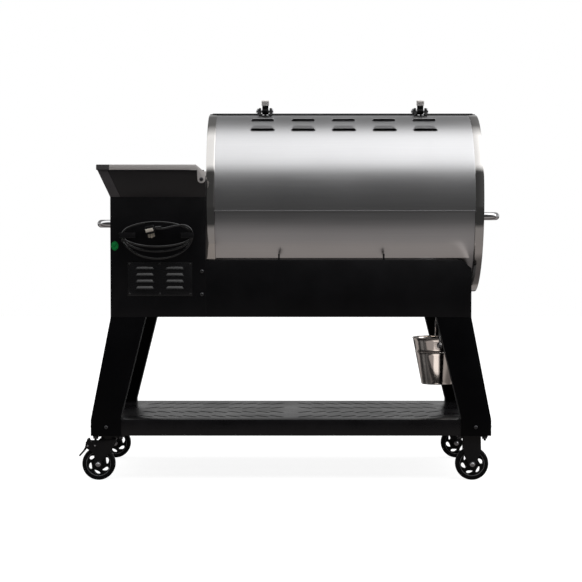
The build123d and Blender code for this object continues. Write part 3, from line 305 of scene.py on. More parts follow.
M = {
    "body": powder("black_powder_coat", (0.004, 0.0038, 0.0048), 0.4, spec=0.24),
    "face": powder("black_powder_coat_mouth", (0.016, 0.0148, 0.0165), 0.4),
    "panel": powder("black_powder_coat_panel", (0.0036, 0.0034, 0.0044), 0.21, spec=0.75),
    "leg": powder("black_powder_coat_legs", (0.001, 0.001, 0.0015), 0.42, spec=0.1),
    "shelf": powder("charcoal_powder_coat", (0.0055, 0.005, 0.006), 0.28, 900.0, 0.12, 0.34),
    "barrel": brushed("brushed_stainless_barrel", (0.6, 0.6, 0.61), (4.0, 2400.0, 2400.0), 0.33, 0.14),
    "sheet": brushed("brushed_stainless_sheet", (0.84, 0.8, 0.78), (1500.0, 6.0, 1500.0), 0.42, 0.2, 0.3),
    "bucket": brushed("spun_stainless", (0.88, 0.82, 0.77), (300.0, 300.0, 1800.0), 0.11, 0.05),
    "chrome": polished("polished_stainless", (0.72, 0.72, 0.73)),
    "band": polished("polished_band", (0.6, 0.585, 0.57), 0.07),
    "zinc": polished("bright_zinc", (0.62, 0.62, 0.64), 0.2),
    "caster": powder("caster_steel", (0.0048, 0.0045, 0.0052), 0.38, 1500.0, 0.1, 0.28),
    "tyre": moulded("tyre_rubber", (0.004, 0.004, 0.0045), 0.5, 500.0, 0.3, 0.16),
    "hub": moulded("hub_polymer", (0.005, 0.005, 0.0055), 0.4, 900.0, 0.15, 0.24),
    "ring": moulded("hub_grey_ring", (0.13, 0.13, 0.135), 0.4, 900.0, 0.15),
    "bumper": moulded("grey_rubber", (0.95, 0.87, 0.81), 0.6, 450.0, 0.2, 0.5),
    "cord": moulded("cord_pvc", (0.006, 0.006, 0.007), 0.16, 1600.0, 0.04, 0.9),
    "plug": moulded("plug_rubber", (0.0055, 0.0055, 0.006), 0.4, 900.0, 0.15, 0.3),
    "plastic": moulded("black_moulding", (0.012, 0.012, 0.013), 0.36, 1200.0, 0.15),
    "cream": moulded("plug_face", (0.86, 0.78, 0.68), 0.5, 900.0, 0.1),
    "galvanised": galvanised("galvanised_sheet"),
    "enamel": enamel("black_enamel"),
    "hot": baked("high_temperature_black"),
    "iron": baked("seasoned_steel", (0.045, 0.043, 0.042), 0.5),
    "grip": powder("grey_powder_coat", (0.115, 0.109, 0.112), 0.42),
    # the flap's coat is painted far lighter than the body coat: painted sheen for the light on that facet
    "flap": powder("black_powder_coat_flap", (0.085, 0.08, 0.085), 0.4),
    "dark_zinc": polished("blackened_zinc", (0.1, 0.1, 0.105), 0.3),
    "brass": polished("plug_brass", (0.93, 0.86, 0.72), 0.35),
    "green": moulded("sticker_green", (0.006, 0.33, 0.07), 0.5, 2500.0, 0.03, 0.2),
    "dark_green": moulded("sticker_print", (0.003, 0.085, 0.018), 0.5, 2500.0, 0.03, 0.2),
    "print": moulded("white_print", (0.62, 0.62, 0.6), 0.5, 2500.0, 0.03),
}


# ---------------- mesh helpers
SHARP = radians(30)             # edges that turn by more than this are broken


def shade(mesh, angle):
    for p in mesh.polygons:
        p.use_smooth = True
    mesh.set_sharp_from_angle(angle=radians(angle))
    mesh.update()


@contextmanager
def editing(mesh, merge=0.0):
    """A bmesh of the mesh, with close points merged first, written back at the end."""
    bm = bmesh.new()
    bm.from_mesh(mesh)
    if merge:
        bmesh.ops.remove_doubles(bm, verts=bm.verts, dist=merge)
    yield bm
    bm.to_mesh(mesh)
    bm.free()


def break_edges(bm, width, segments, careful=False):
    """Bevels the sharp edges; careful leaves the short ones and stops the bevels at each other."""
    edges = [e for e in bm.edges if len(e.link_faces) == 2 and e.calc_face_angle(0) > SHARP]
    if careful:
        edges = [e for e in edges if e.calc_length() > width * 1.5]
    bmesh.ops.bevel(bm, geom=edges, offset=width, segments=segments, profile=0.5, affect="EDGES",
                    clamp_overlap=careful)


def place(name, mesh, mat, body, replaces=()):
    """Puts a mesh in the scene on its body, with a material."""
    o = bpy.data.objects.new(name, mesh)
    bpy.context.scene.collection.objects.link(o)
    mesh.materials.clear()
    mesh.materials.append(M[mat])
    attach(o, body)
    if replaces:
        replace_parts(o, *replaces)
    return o


def piece(name, verts, faces, mat, body, replaces=(), angle=35.0, bevel=0.0, segments=2):
    """A new mesh piece that rides on a body and may stand for CAD nodes."""
    mesh = bpy.data.meshes.new(name)
    mesh.from_pydata([tuple(v) for v in verts], [], [tuple(f) for f in faces])
    with editing(mesh, 1e-6) as bm:
        bmesh.ops.recalc_face_normals(bm, faces=bm.faces)
        if bevel:
            break_edges(bm, bevel, segments)
    shade(mesh, angle)
    return place(name, mesh, mat, body, replaces)


node_body = {n: b for b, ns in frame["record"]["behaviour"]["bodies"].items() for n in ns}


def refine(node, mat, bevel=0.0006, segments=2):
    """A copy of a CAD node's shape with its edges broken, standing for the node."""
    mesh = nodes[node].data.copy()
    mesh.name = node + "_skin"
    with editing(mesh, 2e-6) as bm:
        bmesh.ops.dissolve_limit(bm, angle_limit=radians(0.6), verts=bm.verts, edges=bm.edges)
        if bevel:
            break_edges(bm, bevel, segments, True)
        bmesh.ops.remove_doubles(bm, verts=bm.verts, dist=1e-7)
    if "custom_normal" in mesh.attributes:
        mesh.attributes.remove(mesh.attributes["custom_normal"])
    shade(mesh, 32.0)
    return place(node + "_skin", mesh, mat, node_body[node], (node,))


def keep(node, mat):
    """Leaves a CAD node in place and gives it a finish."""
    nodes[node].data.materials.clear()
    nodes[node].data.materials.append(M[mat])


def basis(axis):
    """Two unit vectors across an axis, and the axis itself."""
    w = Vector(axis).normalized()
    u = Vector((0, 0, 1)) if abs(w.z) < 0.9 else Vector((1, 0, 0))
    u = (u - w * u.dot(w)).normalized()
    return u, w.cross(u), w


def ring_faces(n, rows, start=0):
    """Quads between consecutive rings of n points, with a cap on the first ring and on the last."""
    faces = []
    for a in range(start, start + (rows - 1) * n, n):
        faces += [(a + i, a + (i + 1) % n, a + n + (i + 1) % n, a + n + i) for i in range(n)]
    last = start + (rows - 1) * n
    return faces + [tuple(range(start, start + n)), tuple(range(last, last + n))]


def lathe(name, profile, origin, axis, mat, body, seg=96, replaces=(), angle=35.0):
    """A (radius, height) profile in millimetres, closed or ending on the axis, turned about an axis."""
    u, v, w = basis(axis)
    verts, faces, rings = [], [], []
    for r, h in profile:
        centre = Vector(origin) + w * (h / 1000)
        if r == 0:
            rings.append([len(verts)] * seg)
            verts.append(centre)
            continue
        rings.append(list(range(len(verts), len(verts) + seg)))
        for i in range(seg):
            a = 2 * pi * i / seg
            verts.append(centre + (u * cos(a) + v * sin(a)) * (r / 1000))
    for k, a in enumerate(rings):
        b = rings[(k + 1) % len(rings)]
        for i in range(seg):
            j = (i + 1) % seg
            corners = list(dict.fromkeys((a[i], a[j], b[j], b[i])))
            if len(corners) > 2:
                faces.append(corners)
    return piece(name, verts, faces, mat, body, replaces, angle)


def rounded(points, radius, steps=5):
    """A 2D closed outline with its corners rounded."""
    out = []
    for i, corner in enumerate(points):
        p = Vector(corner)
        a, b = Vector(points[i - 1]) - p, Vector(points[(i + 1) % len(points)]) - p
        half = a.angle(b) / 2
        d = min(radius / tan(half), a.length * 0.48, b.length * 0.48)
        c = p + (a.normalized() + b.normalized()).normalized() * (d * tan(half) / sin(half))
        s, e = p + a.normalized() * d - c, p + b.normalized() * d - c
        turn = s.angle_signed(e)
        out += [c + Matrix.Rotation(-turn * k / steps, 2) @ s for k in range(steps + 1)]
    return out


def box(x0, x1, y0, y1, radius, steps=3):
    """A rectangle with rounded corners."""
    return rounded([(x0, y0), (x1, y0), (x1, y1), (x0, y1)], radius, steps)


def oval(cx, cy, a, b, count):
    angles = [2 * pi * i / count for i in range(count)]
    return [Vector((cx + a * cos(t), cy + b * sin(t))) for t in angles]


def prism(name, outline, lo, hi, axis, mat, body, replaces=(), bevel=0.0006, slot=None):
    """A 2D outline pushed along an axis: (y, z) along X, or (x, z) along Y."""
    ends = [[(d, p[0], p[1]) if axis == "X" else (p[0], d, p[1]) for p in outline] for d in (lo, hi)]
    verts = ends[0] + ends[1]
    return piece(name, verts, ring_faces(len(outline), 2), mat, body, replaces, bevel=bevel)


def plate(name, loops, half, centre, mat, body, bevel):
    """An upright plate facing along Y: the first loop is its outline, the others are its holes."""
    flat = [p for loop in loops for p in loop]
    n = len(flat)
    verts = [centre + Vector((p.x, h, p.y)) for h in (-half, half) for p in flat]
    faces = []
    for t in tessellate_polygon([[p.to_3d() for p in loop] for loop in loops]):
        faces += [tuple(t), tuple(n + i for i in t)]
    start = 0
    for loop in loops:
        m = len(loop)
        faces += [(start + i, start + (i + 1) % m, n + start + (i + 1) % m, n + start + i) for i in range(m)]
        start += m
    return piece(name, verts, faces, mat, body, bevel=bevel)


def smooth_path(points, count):
    """Catmull-Rom through points, evenly spaced."""
    pts = [Vector(p) for p in points]
    dense = []
    for i in range(len(pts) - 1):
        p0 = pts[i - 1] if i else pts[0] * 2 - pts[1]
        p1, p2 = pts[i], pts[i + 1]
        p3 = pts[i + 2] if i + 2 < len(pts) else pts[-1] * 2 - pts[-2]
        for k in range(24):
            t = k / 24
            dense.append(0.5 * ((2 * p1) + (p2 - p0) * t + (2 * p0 - 5 * p1 + 4 * p2 - p3) * t * t
                                + (3 * p1 - p0 - 3 * p2 + p3) * t ** 3))
    dense.append(pts[-1])
    run = [0.0]
    for a, b in zip(dense, dense[1:]):
        run.append(run[-1] + (b - a).length)
    out, j = [], 0
    for k in range(count):
        d = run[-1] * k / (count - 1)
        while j < len(run) - 2 and run[j + 1] < d:
            j += 1
        f = (d - run[j]) / max(run[j + 1] - run[j], 1e-12)
        out.append(dense[j].lerp(dense[j + 1], min(max(f, 0), 1)))
    return out


def sweep(name, path, radius, mat, body, seg, replaces=()):
    """A round section carried along a path without twisting."""
    pts = [Vector(p) for p in path]
    ways = [(b - a).normalized() for a, b in zip(pts[:1] + pts, pts[1:] + pts[-1:])]
    u = basis(ways[0])[0]
    verts = []
    for i, (p, way) in enumerate(zip(pts, ways)):
        if i:
            u = ways[i - 1].rotation_difference(way) @ u
            u = (u - way * u.dot(way)).normalized()
        v = way.cross(u)
        for k in range(seg):
            a = 2 * pi * k / seg
            verts.append(p + (u * cos(a) + v * sin(a)) * radius)
    return piece(name, verts, ring_faces(seg, len(pts)), mat, body, replaces, 40.0)


# ---------------- barrel
LOUVRES = (53.6, 66.9)          # each row's mouth, in degrees up from the rear horizontal
TALL = degrees(0.0205 / R)
WIDE = 0.0766
LIFT = 0.0068                   # how far a louvre's mouth stands off the sheet
COLUMNS = [XM + c * 0.1263 for c in range(-2, 3)]
HEM_TOP = -5.0


def stand_off(x, angle, pressed):
    """How far the rear sheet stands out: along its hem, and over each louvre."""
    if angle < HEM_TOP:
        return 0.0011 * min(1.0, (angle + 5.78) / 0.12)
    for mouth in LOUVRES:
        if pressed and mouth <= angle <= mouth + TALL + 1e-6:
            v = (angle - mouth) / TALL
            for mid in COLUMNS:
                side = min(1.0, (WIDE / 2 * (1 - 0.24 * v) - abs(x - mid)) / 0.006)
                if side > 0:
                    return LIFT * side * side * (3 - 2 * side) * max(0.0, 1 - v) ** 0.85
    return 0.0


def rear_shell():
    """The rear half of the barrel: one sheet with two rows of pressed, downward-opening louvres."""
    across = (0, 0.25, 0.5, 0.7, 0.78, 0.84, 0.9, 0.95, 1.0, 1.06)
    xs = [mid + s * WIDE / 2 * u for mid in COLUMNS for u in across for s in (-1, 1)]
    for d in (0.0015, 0.03, 0.08, 0.12):
        xs += [X0 + d, X1 - d]
    xs = sorted(set(round(x, 6) for x in xs))
    # rows of (angle, pressed): at a louvre's mouth a flat row and a pressed one share an angle
    rows = [(a, 0) for a in (-5.7, -5.62, -5.5, -5.2, -5.05, -4.95, 86.0)]
    for a in (-3.5 + 1.5 * k for k in range(60)):
        if not any(mouth - 0.4 < a < mouth + TALL + 0.4 for mouth in LOUVRES):
            rows.append((a, 0))
    steps = (0.0, 0.05, 0.11, 0.18, 0.26, 0.36, 0.48, 0.62, 0.76, 0.88, 0.95, 1.0)
    for mouth in LOUVRES:
        rows.append((mouth, 0))
        rows += [(mouth + TALL * v, 1) for v in steps]
    rows.sort()

    verts, index = [], {}
    for i, (angle, pressed) in enumerate(rows):
        for j, x in enumerate(xs):
            h = stand_off(x, angle, pressed)
            if pressed and h < 1e-6 and rows[i - 1][0] == angle:
                index[i, j] = index[i - 1, j]
                continue
            index[i, j] = len(verts)
            verts.append((x, *on_barrel(angle, R + h)))
    faces = []
    for i in range(len(rows) - 1):
        if rows[i][0] == rows[i + 1][0]:
            continue
        for j in range(len(xs) - 1):
            faces.append((index[i, j], index[i, j + 1], index[i + 1, j + 1], index[i + 1, j]))
    mesh = bpy.data.meshes.new("rear_shell_skin")
    mesh.from_pydata(verts, [], faces)
    axis = Vector((0, 0, BZ))
    with editing(mesh) as bm:
        bmesh.ops.recalc_face_normals(bm, faces=bm.faces)
        if sum(f.normal.dot((f.calc_center_median() - axis) * Vector((0, 1, 1))) for f in bm.faces) < 0:
            bmesh.ops.reverse_faces(bm, faces=bm.faces)
    shade(mesh, 40)
    o = place("rear_shell_skin", mesh, "barrel", "frame", ("barrel_rear_shell",))
    sheet = o.modifiers.new("sheet", "SOLIDIFY")
    sheet.thickness = 0.0013
    sheet.offset = -1.0
    sheet.use_even_offset = True


def arc_section(name, section, a0, a1, steps, mat, body, replaces=()):
    """A closed (x, r) section carried round the barrel axis between two angles."""
    verts = []
    for i in range(steps + 1):
        verts += [(x, *on_barrel(a0 + (a1 - a0) * i / steps, r)) for x, r in section]
    return piece(name, verts, ring_faces(len(section), steps + 1), mat, body, replaces)


rear_shell()

# The lower shell runs inside the rear shell's hem and under the lid's front edge.
lower = box(X0 + 0.0015, X1 - 0.0015, 0.2773, 0.2788, 0.0004, 2)
arc_section("lower_shell_skin", lower, 183.0, 357.3, 220, "barrel", "frame", ("barrel_lower_shell",))
for side, tag in ((-1, "front"), (1, "rear")):
    edge = [(side * y, z) for y, z in ((0.2725, 0.796), (0.248, 0.796), (0.248, 0.799), (0.2725, 0.799))]
    prism(f"grate_ledge_{tag}", edge, X0 + 0.002, X1 - 0.002, "X", "hot", "frame", bevel=0.0005)


def band_section(x0, x1, r):
    """A half-oval trim with a rolled edge on each side."""
    pts = [(x0, r), (x0, r + 0.0006)]
    for k in range(9):
        t = k / 8
        x = x0 + 0.0009 + (x1 - x0 - 0.0018) * t
        pts.append((x, r + 0.00095 + 0.00045 * sin(pi * t)))
    pts += [(x1, r + 0.0006), (x1, r)]
    return pts


for tag, x0, x1, rim_x in (
    ("bucket_end", X0 - 0.0012, X0 + 0.025, (X0 - 0.0012, X0)),
    ("hopper_end", X1 - 0.025, X1 + 0.0005, (X1, X1 + 0.0011)),
):
    first = tag == "bucket_end"
    arc_section(f"end_band_{tag}", band_section(x0, x1, R + 0.0001), -170.0, 86.0, 320, "band", "frame",
                ("end_bands",) if first else ())
    arc_section(f"lid_band_{tag}", band_section(x0, x1, 0.2845), 91.7, 189.0, 130, "band", "lid",
                ("lid_bands",) if first else ())
    # the rolled rim that closes the band over the end plate
    rim = box(*rim_x, R - 0.006, R + 0.0006, 0.0003)
    arc_section(f"end_rim_{tag}", rim, -170.0, 86.0, 220, "band", "frame")

# End plates: the fixed part below the parting line, and the lid's cheek above it.
refine("barrel_ends", "body", 0.0003)
PARTING = 134.5                 # direction that the parting line's middle faces, in degrees
chord = R * cos(radians(48.5)) + 0.0025


def cheek_outline(r):
    """The lid's end cheek: the circle cut by the parting line, and upright at the hinge side."""
    half = degrees(acos(chord / r))
    pts = [on_barrel(88.2 + (PARTING + half - 88.2) * i / 90, r) for i in range(91)]
    y = pts[0][0]
    a = radians(PARTING)
    return pts + [(y, BZ + (chord - y * cos(a)) / sin(a))]


for tag, x in (("bucket_end", X0), ("hopper_end", X1 - 0.0018)):
    prism(f"lid_cheek_{tag}", cheek_outline(0.2823), x, x + 0.0018, "X", "body", "lid", bevel=0.0)

skin = box(X0, X1, 0.2825, 0.2843, 0.0005, 2)
arc_section("lid_skin", skin, 88.0, 189.0, 180, "barrel", "lid", ("lid_shell",))
front_hem = box(X0 + 0.026, X1 - 0.026, 0.284, 0.2852, 0.0004)
arc_section("lid_front_hem", front_hem, 187.4, 189.1, 6, "barrel", "lid")
rear_hem = box(X0 + 0.008, X1 - 0.008, 0.2844, 0.2865, 0.0009, 4)
arc_section("lid_rear_hem", rear_hem, 87.6, 91.5, 14, "body", "lid", ("lid_rear_rail",))

# ---------------- lid hinges
HX = (XM - 0.246, XM + 0.246)
HY, HZ = 0.03, 1.143
refine("hinge_brackets", "body", 0.0007)
refine("hinge_arms", "body", 0.0008)
stop = Vector((0, cos(radians(74)), sin(radians(74))))
side_dir = Vector((0, stop.z, -stop.y))


def hexagon(a):
    """How much further out than its flats a hexagon reaches in direction a."""
    return 1 / cos((a % (pi / 3)) - pi / 6)


def nut(name, at, axis, r, h, mat):
    """A chamfered hexagon nut."""
    u, v, w = basis(axis)
    verts = []
    for s, t in ((0.9, 0.0), (1.0, 0.1), (1.0, 0.9), (0.9, 1.0)):
        for k in range(24):
            a = 2 * pi * k / 24
            flat = r * cos(pi / 6) * hexagon(a)
            rr = min(flat, r * s) if s < 1 else flat
            verts.append(Vector(at) + w * h * t + (u * cos(a) + v * sin(a)) * rr)
    piece(name, verts, ring_faces(24, 4), mat, "frame", angle=25.0)


FOOT = 79.3                     # the bracket's foot bolts, in degrees up from the rear horizontal
bumper_steps = ((0.0, 0.9), (0.0006, 0.97), (0.0015, 1.0), (0.006, 0.985), (0.009, 0.985), (0.0135, 1.0),
                (0.0145, 0.96), (0.015, 0.88))
pin = [(0, -25.5), (5, -25.5), (7.8, -25), (8.2, -24.3), (8.2, -21.5), (7.8, -20.6), (5, -20.6), (5, 28.5),
       (4.4, 29), (0, 29)]
head = [(0, 2.1), (1.4, 2.1), (2.9, 1.8), (3.9, 1.2), (4.4, 0.5), (4.4, 0), (0, 0)]
for tag, x in zip("ab", HX):
    # the rubber bumper on the stop arm: a soft block with rounded corners and a waist
    base = Vector((x, HY, HZ)) + stop * 0.0191
    outline = box(-0.012, 0.012, -0.006, 0.006, 0.003, 6)
    verts = []
    for h, s in bumper_steps:
        verts += [base + stop * h + Vector((p.x * s, 0, 0)) + side_dir * (p.y * s) for p in outline]
    piece(f"lid_bumper_{tag}", verts, ring_faces(len(outline), len(bumper_steps)), "bumper", "lid",
          ("lid_bumpers",) if tag == "a" else ())
    lathe(f"hinge_pin_{tag}", pin, (x, HY, HZ), (1, 0, 0), "zinc", "frame", 40,
          ("hinge_bolts",) if tag == "a" else ())
    nut(f"hinge_nut_{tag}", (x + 0.0206, HY, HZ), (1, 0, 0), 0.0085, 0.005, "zinc")
    # two low button-head bolts fix the bracket's foot to the shell, under the bumper of the open lid
    up = (0, cos(radians(FOOT)), sin(radians(FOOT)))
    for m, dx in enumerate((-0.0065, 0.0065)):
        at = (x + dx, *on_barrel(FOOT, R + 0.0031))
        lathe(f"hinge_foot_bolt_{tag}{m}", head, at, up, "zinc", "frame", 28)

# ---------------- lid handle and thermometer
HB = -0.336
bar = [(0, 340), (8.5, 340), (11.8, 339.2), (13.4, 337.5), (14, 335)]
bar = [(r, -h) for r, h in bar] + bar[::-1]
lathe("lid_handle_tube", bar, (XM, HB, BZ), (1, 0, 0), "chrome", "lid", 56, ("lid_handle_bar",))
post = [(0, 0), (16.8, 0), (17, 0.6), (17, 3.2), (16, 4), (11.2, 4.6), (9.4, 6.5), (9, 9.5), (9, 34),
        (9.6, 37.5), (10.5, 38.5), (0, 38.5)]
clamp = [(14.1, -10.5), (16.2, -10.5), (16.8, -9.8), (16.8, 9.8), (16.2, 10.5), (14.1, 10.5)]
for k, dx in enumerate((-0.3, 0.3)):
    lathe(f"lid_handle_post_{k}", post, (XM + dx, -0.2846, BZ), (0, -1, 0), "plastic", "lid", 48,
          () if k else ("lid_handle_posts",))
    lathe(f"lid_handle_ring_{k}", clamp, (XM + dx, HB, BZ), (1, 0, 0), "plastic", "lid", 48)

GA = radians(142)
GN = Vector((0, cos(GA), sin(GA)))
GO = Vector((XM, *on_barrel(142, 0.2845)))
GU = Vector((1, 0, 0))
GV = GN.cross(GU)
stem = [(0, -70), (2.4, -70), (3.6, -69), (4, -67), (4, 0.5), (0, 0.5)]
lathe("thermometer_stem", stem, GO, GN, "chrome", "lid", 32)
case = [(0, 0), (36.5, 0), (38, 1.2), (38.5, 3.5), (38.5, 12), (38, 15), (36.6, 16),
        (35.2, 15.2), (34.9, 14), (34.9, 3.4), (34, 3), (0, 3)]
lathe("thermometer_bezel", case, GO, GN, "chrome", "lid", 96, ("thermometer_case",))


def dial_material():
    t = Tree("dial_face")
    v = t.coords()
    fine = t.noise(v, 900.0, 2.0)
    soft = t.noise(v, 40.0, 2.0)
    col = t.mix(t.span(soft, 0, 1, 0.3, 0.7), (0.7, 0.69, 0.66), (0.78, 0.77, 0.74))
    return t.principled(Base_Color=col, Roughness=t.span(fine, 0.35, 0.5), Normal=t.bump(fine, 0.05, 0.0001))


M["dial"] = dial_material()
M["ink"] = moulded("dial_ink", (0.006, 0.006, 0.006), 0.5, 1500.0, 0.05)
M["red"] = moulded("red_lacquer", (0.45, 0.02, 0.012), 0.3, 1500.0, 0.05)


def glass_material():
    t = Tree("clear_glass")
    smear = t.noise(t.coords(), 30.0, 3.0)
    glossy = t.node("ShaderNodeBsdfGlossy")
    t.link(t.span(smear, 0.02, 0.08, 0.4, 0.7), glossy.inputs["Roughness"])
    clear = t.node("ShaderNodeBsdfTransparent")
    clear.inputs["Color"].default_value = (0.93, 0.95, 0.95, 1)
    mix = t.node("ShaderNodeMixShader")
    for i, n in enumerate((t.node("ShaderNodeFresnel", IOR=1.5), clear, glossy)):
        t.link(n.outputs[0], mix.inputs[i])
    t.link(mix.outputs[0], t.out.inputs["Surface"])
    return t.mat


M["glass"] = glass_material()
dial = [(0, 3.1), (33.8, 3.1), (34.2, 3.4), (34.2, 3.8), (0, 3.8)]
lathe("thermometer_dial", dial, GO, GN, "dial", "lid", 72)
lens = [(0, 12.2), (34.4, 12.2), (34.6, 12.6), (34.6, 13.4), (33.5, 14.2), (0, 14.8)]
lathe("thermometer_glass", lens, GO, GN, "glass", "lid", 72, ("thermometer_lens",))


def on_dial(x, y, h):
    return GO + GU * x + GV * y + GN * h


def strokes(name, start, turn, count, reach, spot, levels, mat, body):
    """Radial scale marks; reach(k) gives the inner radius, the outer radius and the half width of mark k."""
    verts, faces = [], []
    for k in range(count + 1):
        a = radians(start - turn * k / count)
        r0, r1, w = reach(k)
        d, s = Vector((cos(a), sin(a))), Vector((-sin(a), cos(a)))
        faces += ring_faces(4, 2, len(verts))
        corners = (d * r0 - s * w, d * r1 - s * w, d * r1 + s * w, d * r0 + s * w)
        verts += [spot(p.x, p.y, h) for h in levels for p in corners]
    piece(name, verts, faces, mat, body)


def dial_mark(k):
    return (0.0275, 0.0305, 0.0003) if k % 5 else (0.0245, 0.0305, 0.00055)


DIAL_PRINT = (0.0038, 0.00392)  # the print's back and front, above the case
strokes("thermometer_ticks", 225, 270, 40, dial_mark, on_dial, DIAL_PRINT, "ink", "lid")

# Seven-segment numerals: the bars each figure lights, and each bar's ends as fractions of the box.
SEG = {
    "0": "abcdef", "1": "bc", "2": "abged", "3": "abgcd", "4": "fgbc", "5": "afgcd", "6": "afgedc", "7": "abc",
    "8": "abcdefg", "9": "abcdfg",
}
BARS = {
    "a": (0, 1, 1, 1), "b": (1, .5, 1, 1), "c": (1, 0, 1, .5), "d": (0, 0, 1, 0), "e": (0, 0, 0, .5),
    "f": (0, .5, 0, 1), "g": (0, .5, 1, .5),
}


def digits(name, text, at, size, stroke, spot, levels, mat, body):
    """Seven-segment numerals as thin raised bars; spot places (x, y, height) in space."""
    verts, faces = [], []
    wide = size * 0.62
    left = at[0] - (len(text) * wide + (len(text) - 1) * size * 0.3) / 2
    for place_no, figure in enumerate(text):
        for x0, y0, x1, y1 in (BARS[bar] for bar in SEG[figure]):
            p = Vector((left + place_no * size * 0.92 + x0 * wide, at[1] + (y0 - 0.5) * size))
            q = Vector((left + place_no * size * 0.92 + x1 * wide, at[1] + (y1 - 0.5) * size))
            d = (q - p).normalized()
            m = Vector((-d.y, d.x)) * stroke / 2
            tip, nose = d * stroke * 0.7, d * stroke * 0.25
            outline = (p + nose, p + tip + m, q - tip + m, q - nose, q - tip - m, p + tip - m)
            faces += ring_faces(6, 2, len(verts))
            verts += [spot(c.x, c.y, h) for h in levels for c in outline]
    piece(name, verts, faces, mat, body)


for value in range(0, 401, 100):
    a = radians(225 - 270 * value / 400)
    at = (0.0195 * cos(a), 0.0195 * sin(a))
    digits(f"thermometer_number_{value}", str(value), at, 0.0042, 0.0007, on_dial, DIAL_PRINT, "ink", "lid")
rest = Vector((cos(radians(225)), sin(radians(225))))
across = Vector((-rest.y, rest.x))
tip, tail = rest * 0.0265, rest * -0.0085
shoulder = tip - rest * 0.006
shape = [tip, shoulder + across * 0.0007, across * 0.0013, tail + across * 0.0018, tail - across * 0.0018,
         across * -0.0013, shoulder - across * 0.0007]
verts = [on_dial(p.x, p.y, h) for h in (0.0066, 0.0076) for p in shape]
piece("thermometer_pointer", verts, ring_faces(len(shape), 2), "red", "thermometer_needle",
      ("thermometer_needle",), bevel=0.0001)
hub = [(1.5, 6.4), (4, 6.4), (4.2, 6.8), (4, 8.6), (3.2, 9.2), (1.5, 9.4)]
lathe("thermometer_pointer_hub", hub, GO, GN, "ink", "thermometer_needle", 36)

# ---------------- cart
for node, mat in (
    ("rear_apron", "body"), ("front_apron", "body"), ("saddle_panel", "body"), ("hopper_housing", "body"),
    ("rear_legs", "leg"), ("front_legs", "leg"), ("hopper_flare", "face"), ("access_panel", "panel"),
):
    refine(node, mat, 0.0009)
refine("bottom_shelf", "shelf", 0.0007)
refine("cord_hooks", "panel", 0.0008)
refine("control_panel", "plastic", 0.0012, 3)
refine("hopper_lid", "sheet", 0.0008)
refine("hopper_lid_grip", "grip", 0.0012, 3)
for node in ("swivel_plates", "rigid_forks", "swivel_fork_rear", "swivel_fork_front", "brake_lever_rear",
             "brake_lever_front"):
    refine(node, "caster", 0.0006)


# A button head as (radius, height, whether the ring is a hexagon), in parts of the head's radius and height.
HEAD = ((0.96, 0.0, 0), (1.0, 0.04, 0), (1.0, 0.16, 0), (0.95, 0.42, 0), (0.83, 0.68, 0), (0.66, 0.87, 0),
        (0.5, 0.96, 0), (0.38, 1.0, 1), (0.35, 0.97, 1), (0.35, 0.42, 1))


def button_screws(name, places, r, h, mat, replaces=()):
    """Button-head screws with a hexagon socket, all in one mesh."""
    verts, faces = [], []
    for at, axis in places:
        u, v, w = basis(axis)
        faces += ring_faces(24, len(HEAD), len(verts))
        for rr, hh, hexed in HEAD:
            for k in range(24):
                a = 2 * pi * k / 24
                out = r * rr * (hexagon(a) if hexed else 1)
                verts.append(Vector(at) + w * h * hh + (u * cos(a) + v * sin(a)) * out)
    piece(name, verts, faces, mat, "frame", replaces, 30.0)


places = []
for y in (-1, 1):
    for x in (-1, 1):
        places += [((x * 0.564, y * 0.2891, 0.165), (0, y, 0)), ((x * 0.6111, y * 0.2615, 0.165), (x, 0, 0))]
    places.append(((0.27, y * 0.3276, 0.92), (0, y, 0)))
    places += [((0.271, y * 0.2891, z), (0, y, 0)) for z in (0.571, 0.641)]
button_screws("button_screws", places, 0.006, 0.0035, "dark_zinc", ("screws",))
places = [((x, 0.2907, z), (0, 1, 0)) for x in (0.3065, 0.3985, 0.4905) for z in (0.5725, 0.6635)]
button_screws("access_panel_screws", places, 0.0036, 0.002, "face")

# The caster plates are held by M8 hexagon bolts with nuts underneath.
SWIVEL_X, FIXED_X, CASTER_Y, AXLE_Z = 0.59, -0.555, 0.254, 0.0508
shank = [(0, 123), (3, 123), (3.9, 124)]
for t in range(8):
    shank += [(4, 124.5 + 0.65 * t), (3.6, 124.82 + 0.65 * t)]
shank += [(4, 130), (4, 142.5), (0, 142.5)]
corners = [(px + dx, py + dy) for px in (0.56, FIXED_X) for py in (CASTER_Y, -CASTER_Y)
           for dx in (-0.038, 0.038) for dy in (-0.021, 0.021)]
for k, (x, y) in enumerate(corners):
    nut(f"caster_nut_{k}", (x, y, 0.1293), (0, 0, 1), 0.0075, 0.0065, "dark_zinc")
    nut(f"caster_bolt_head_{k}", (x, y, 0.1421), (0, 0, 1), 0.0075, 0.005, "dark_zinc")
    lathe(f"caster_bolt_{k}", shank, (x, y, 0.0), (0, 0, 1), "dark_zinc", "frame", 20)

# ---------------- hopper details
for side, tag in ((1, "rear"), (-1, "front")):
    # the side sheet's flap folds round the corner of the flare; its much lighter coat is painted sheen for the
    # light on this facet
    low, high = Vector((0.5489, side * 0.289, 0.8674)), Vector((0.5838, side * 0.324, 0.9478))
    n = Vector((0, side * 0.0809, -0.035)).normalized()
    back = Vector((-0.03, 0, 0))
    a, b = low + n * 0.00002, high + n * 0.00002
    verts = [a, b, b + back, a + back * 1.03]
    verts += [v + n * 0.0011 for v in verts]
    piece(f"flare_flap_{tag}", verts, ring_faces(4, 2), "flap", "frame", bevel=0.0005, segments=3)

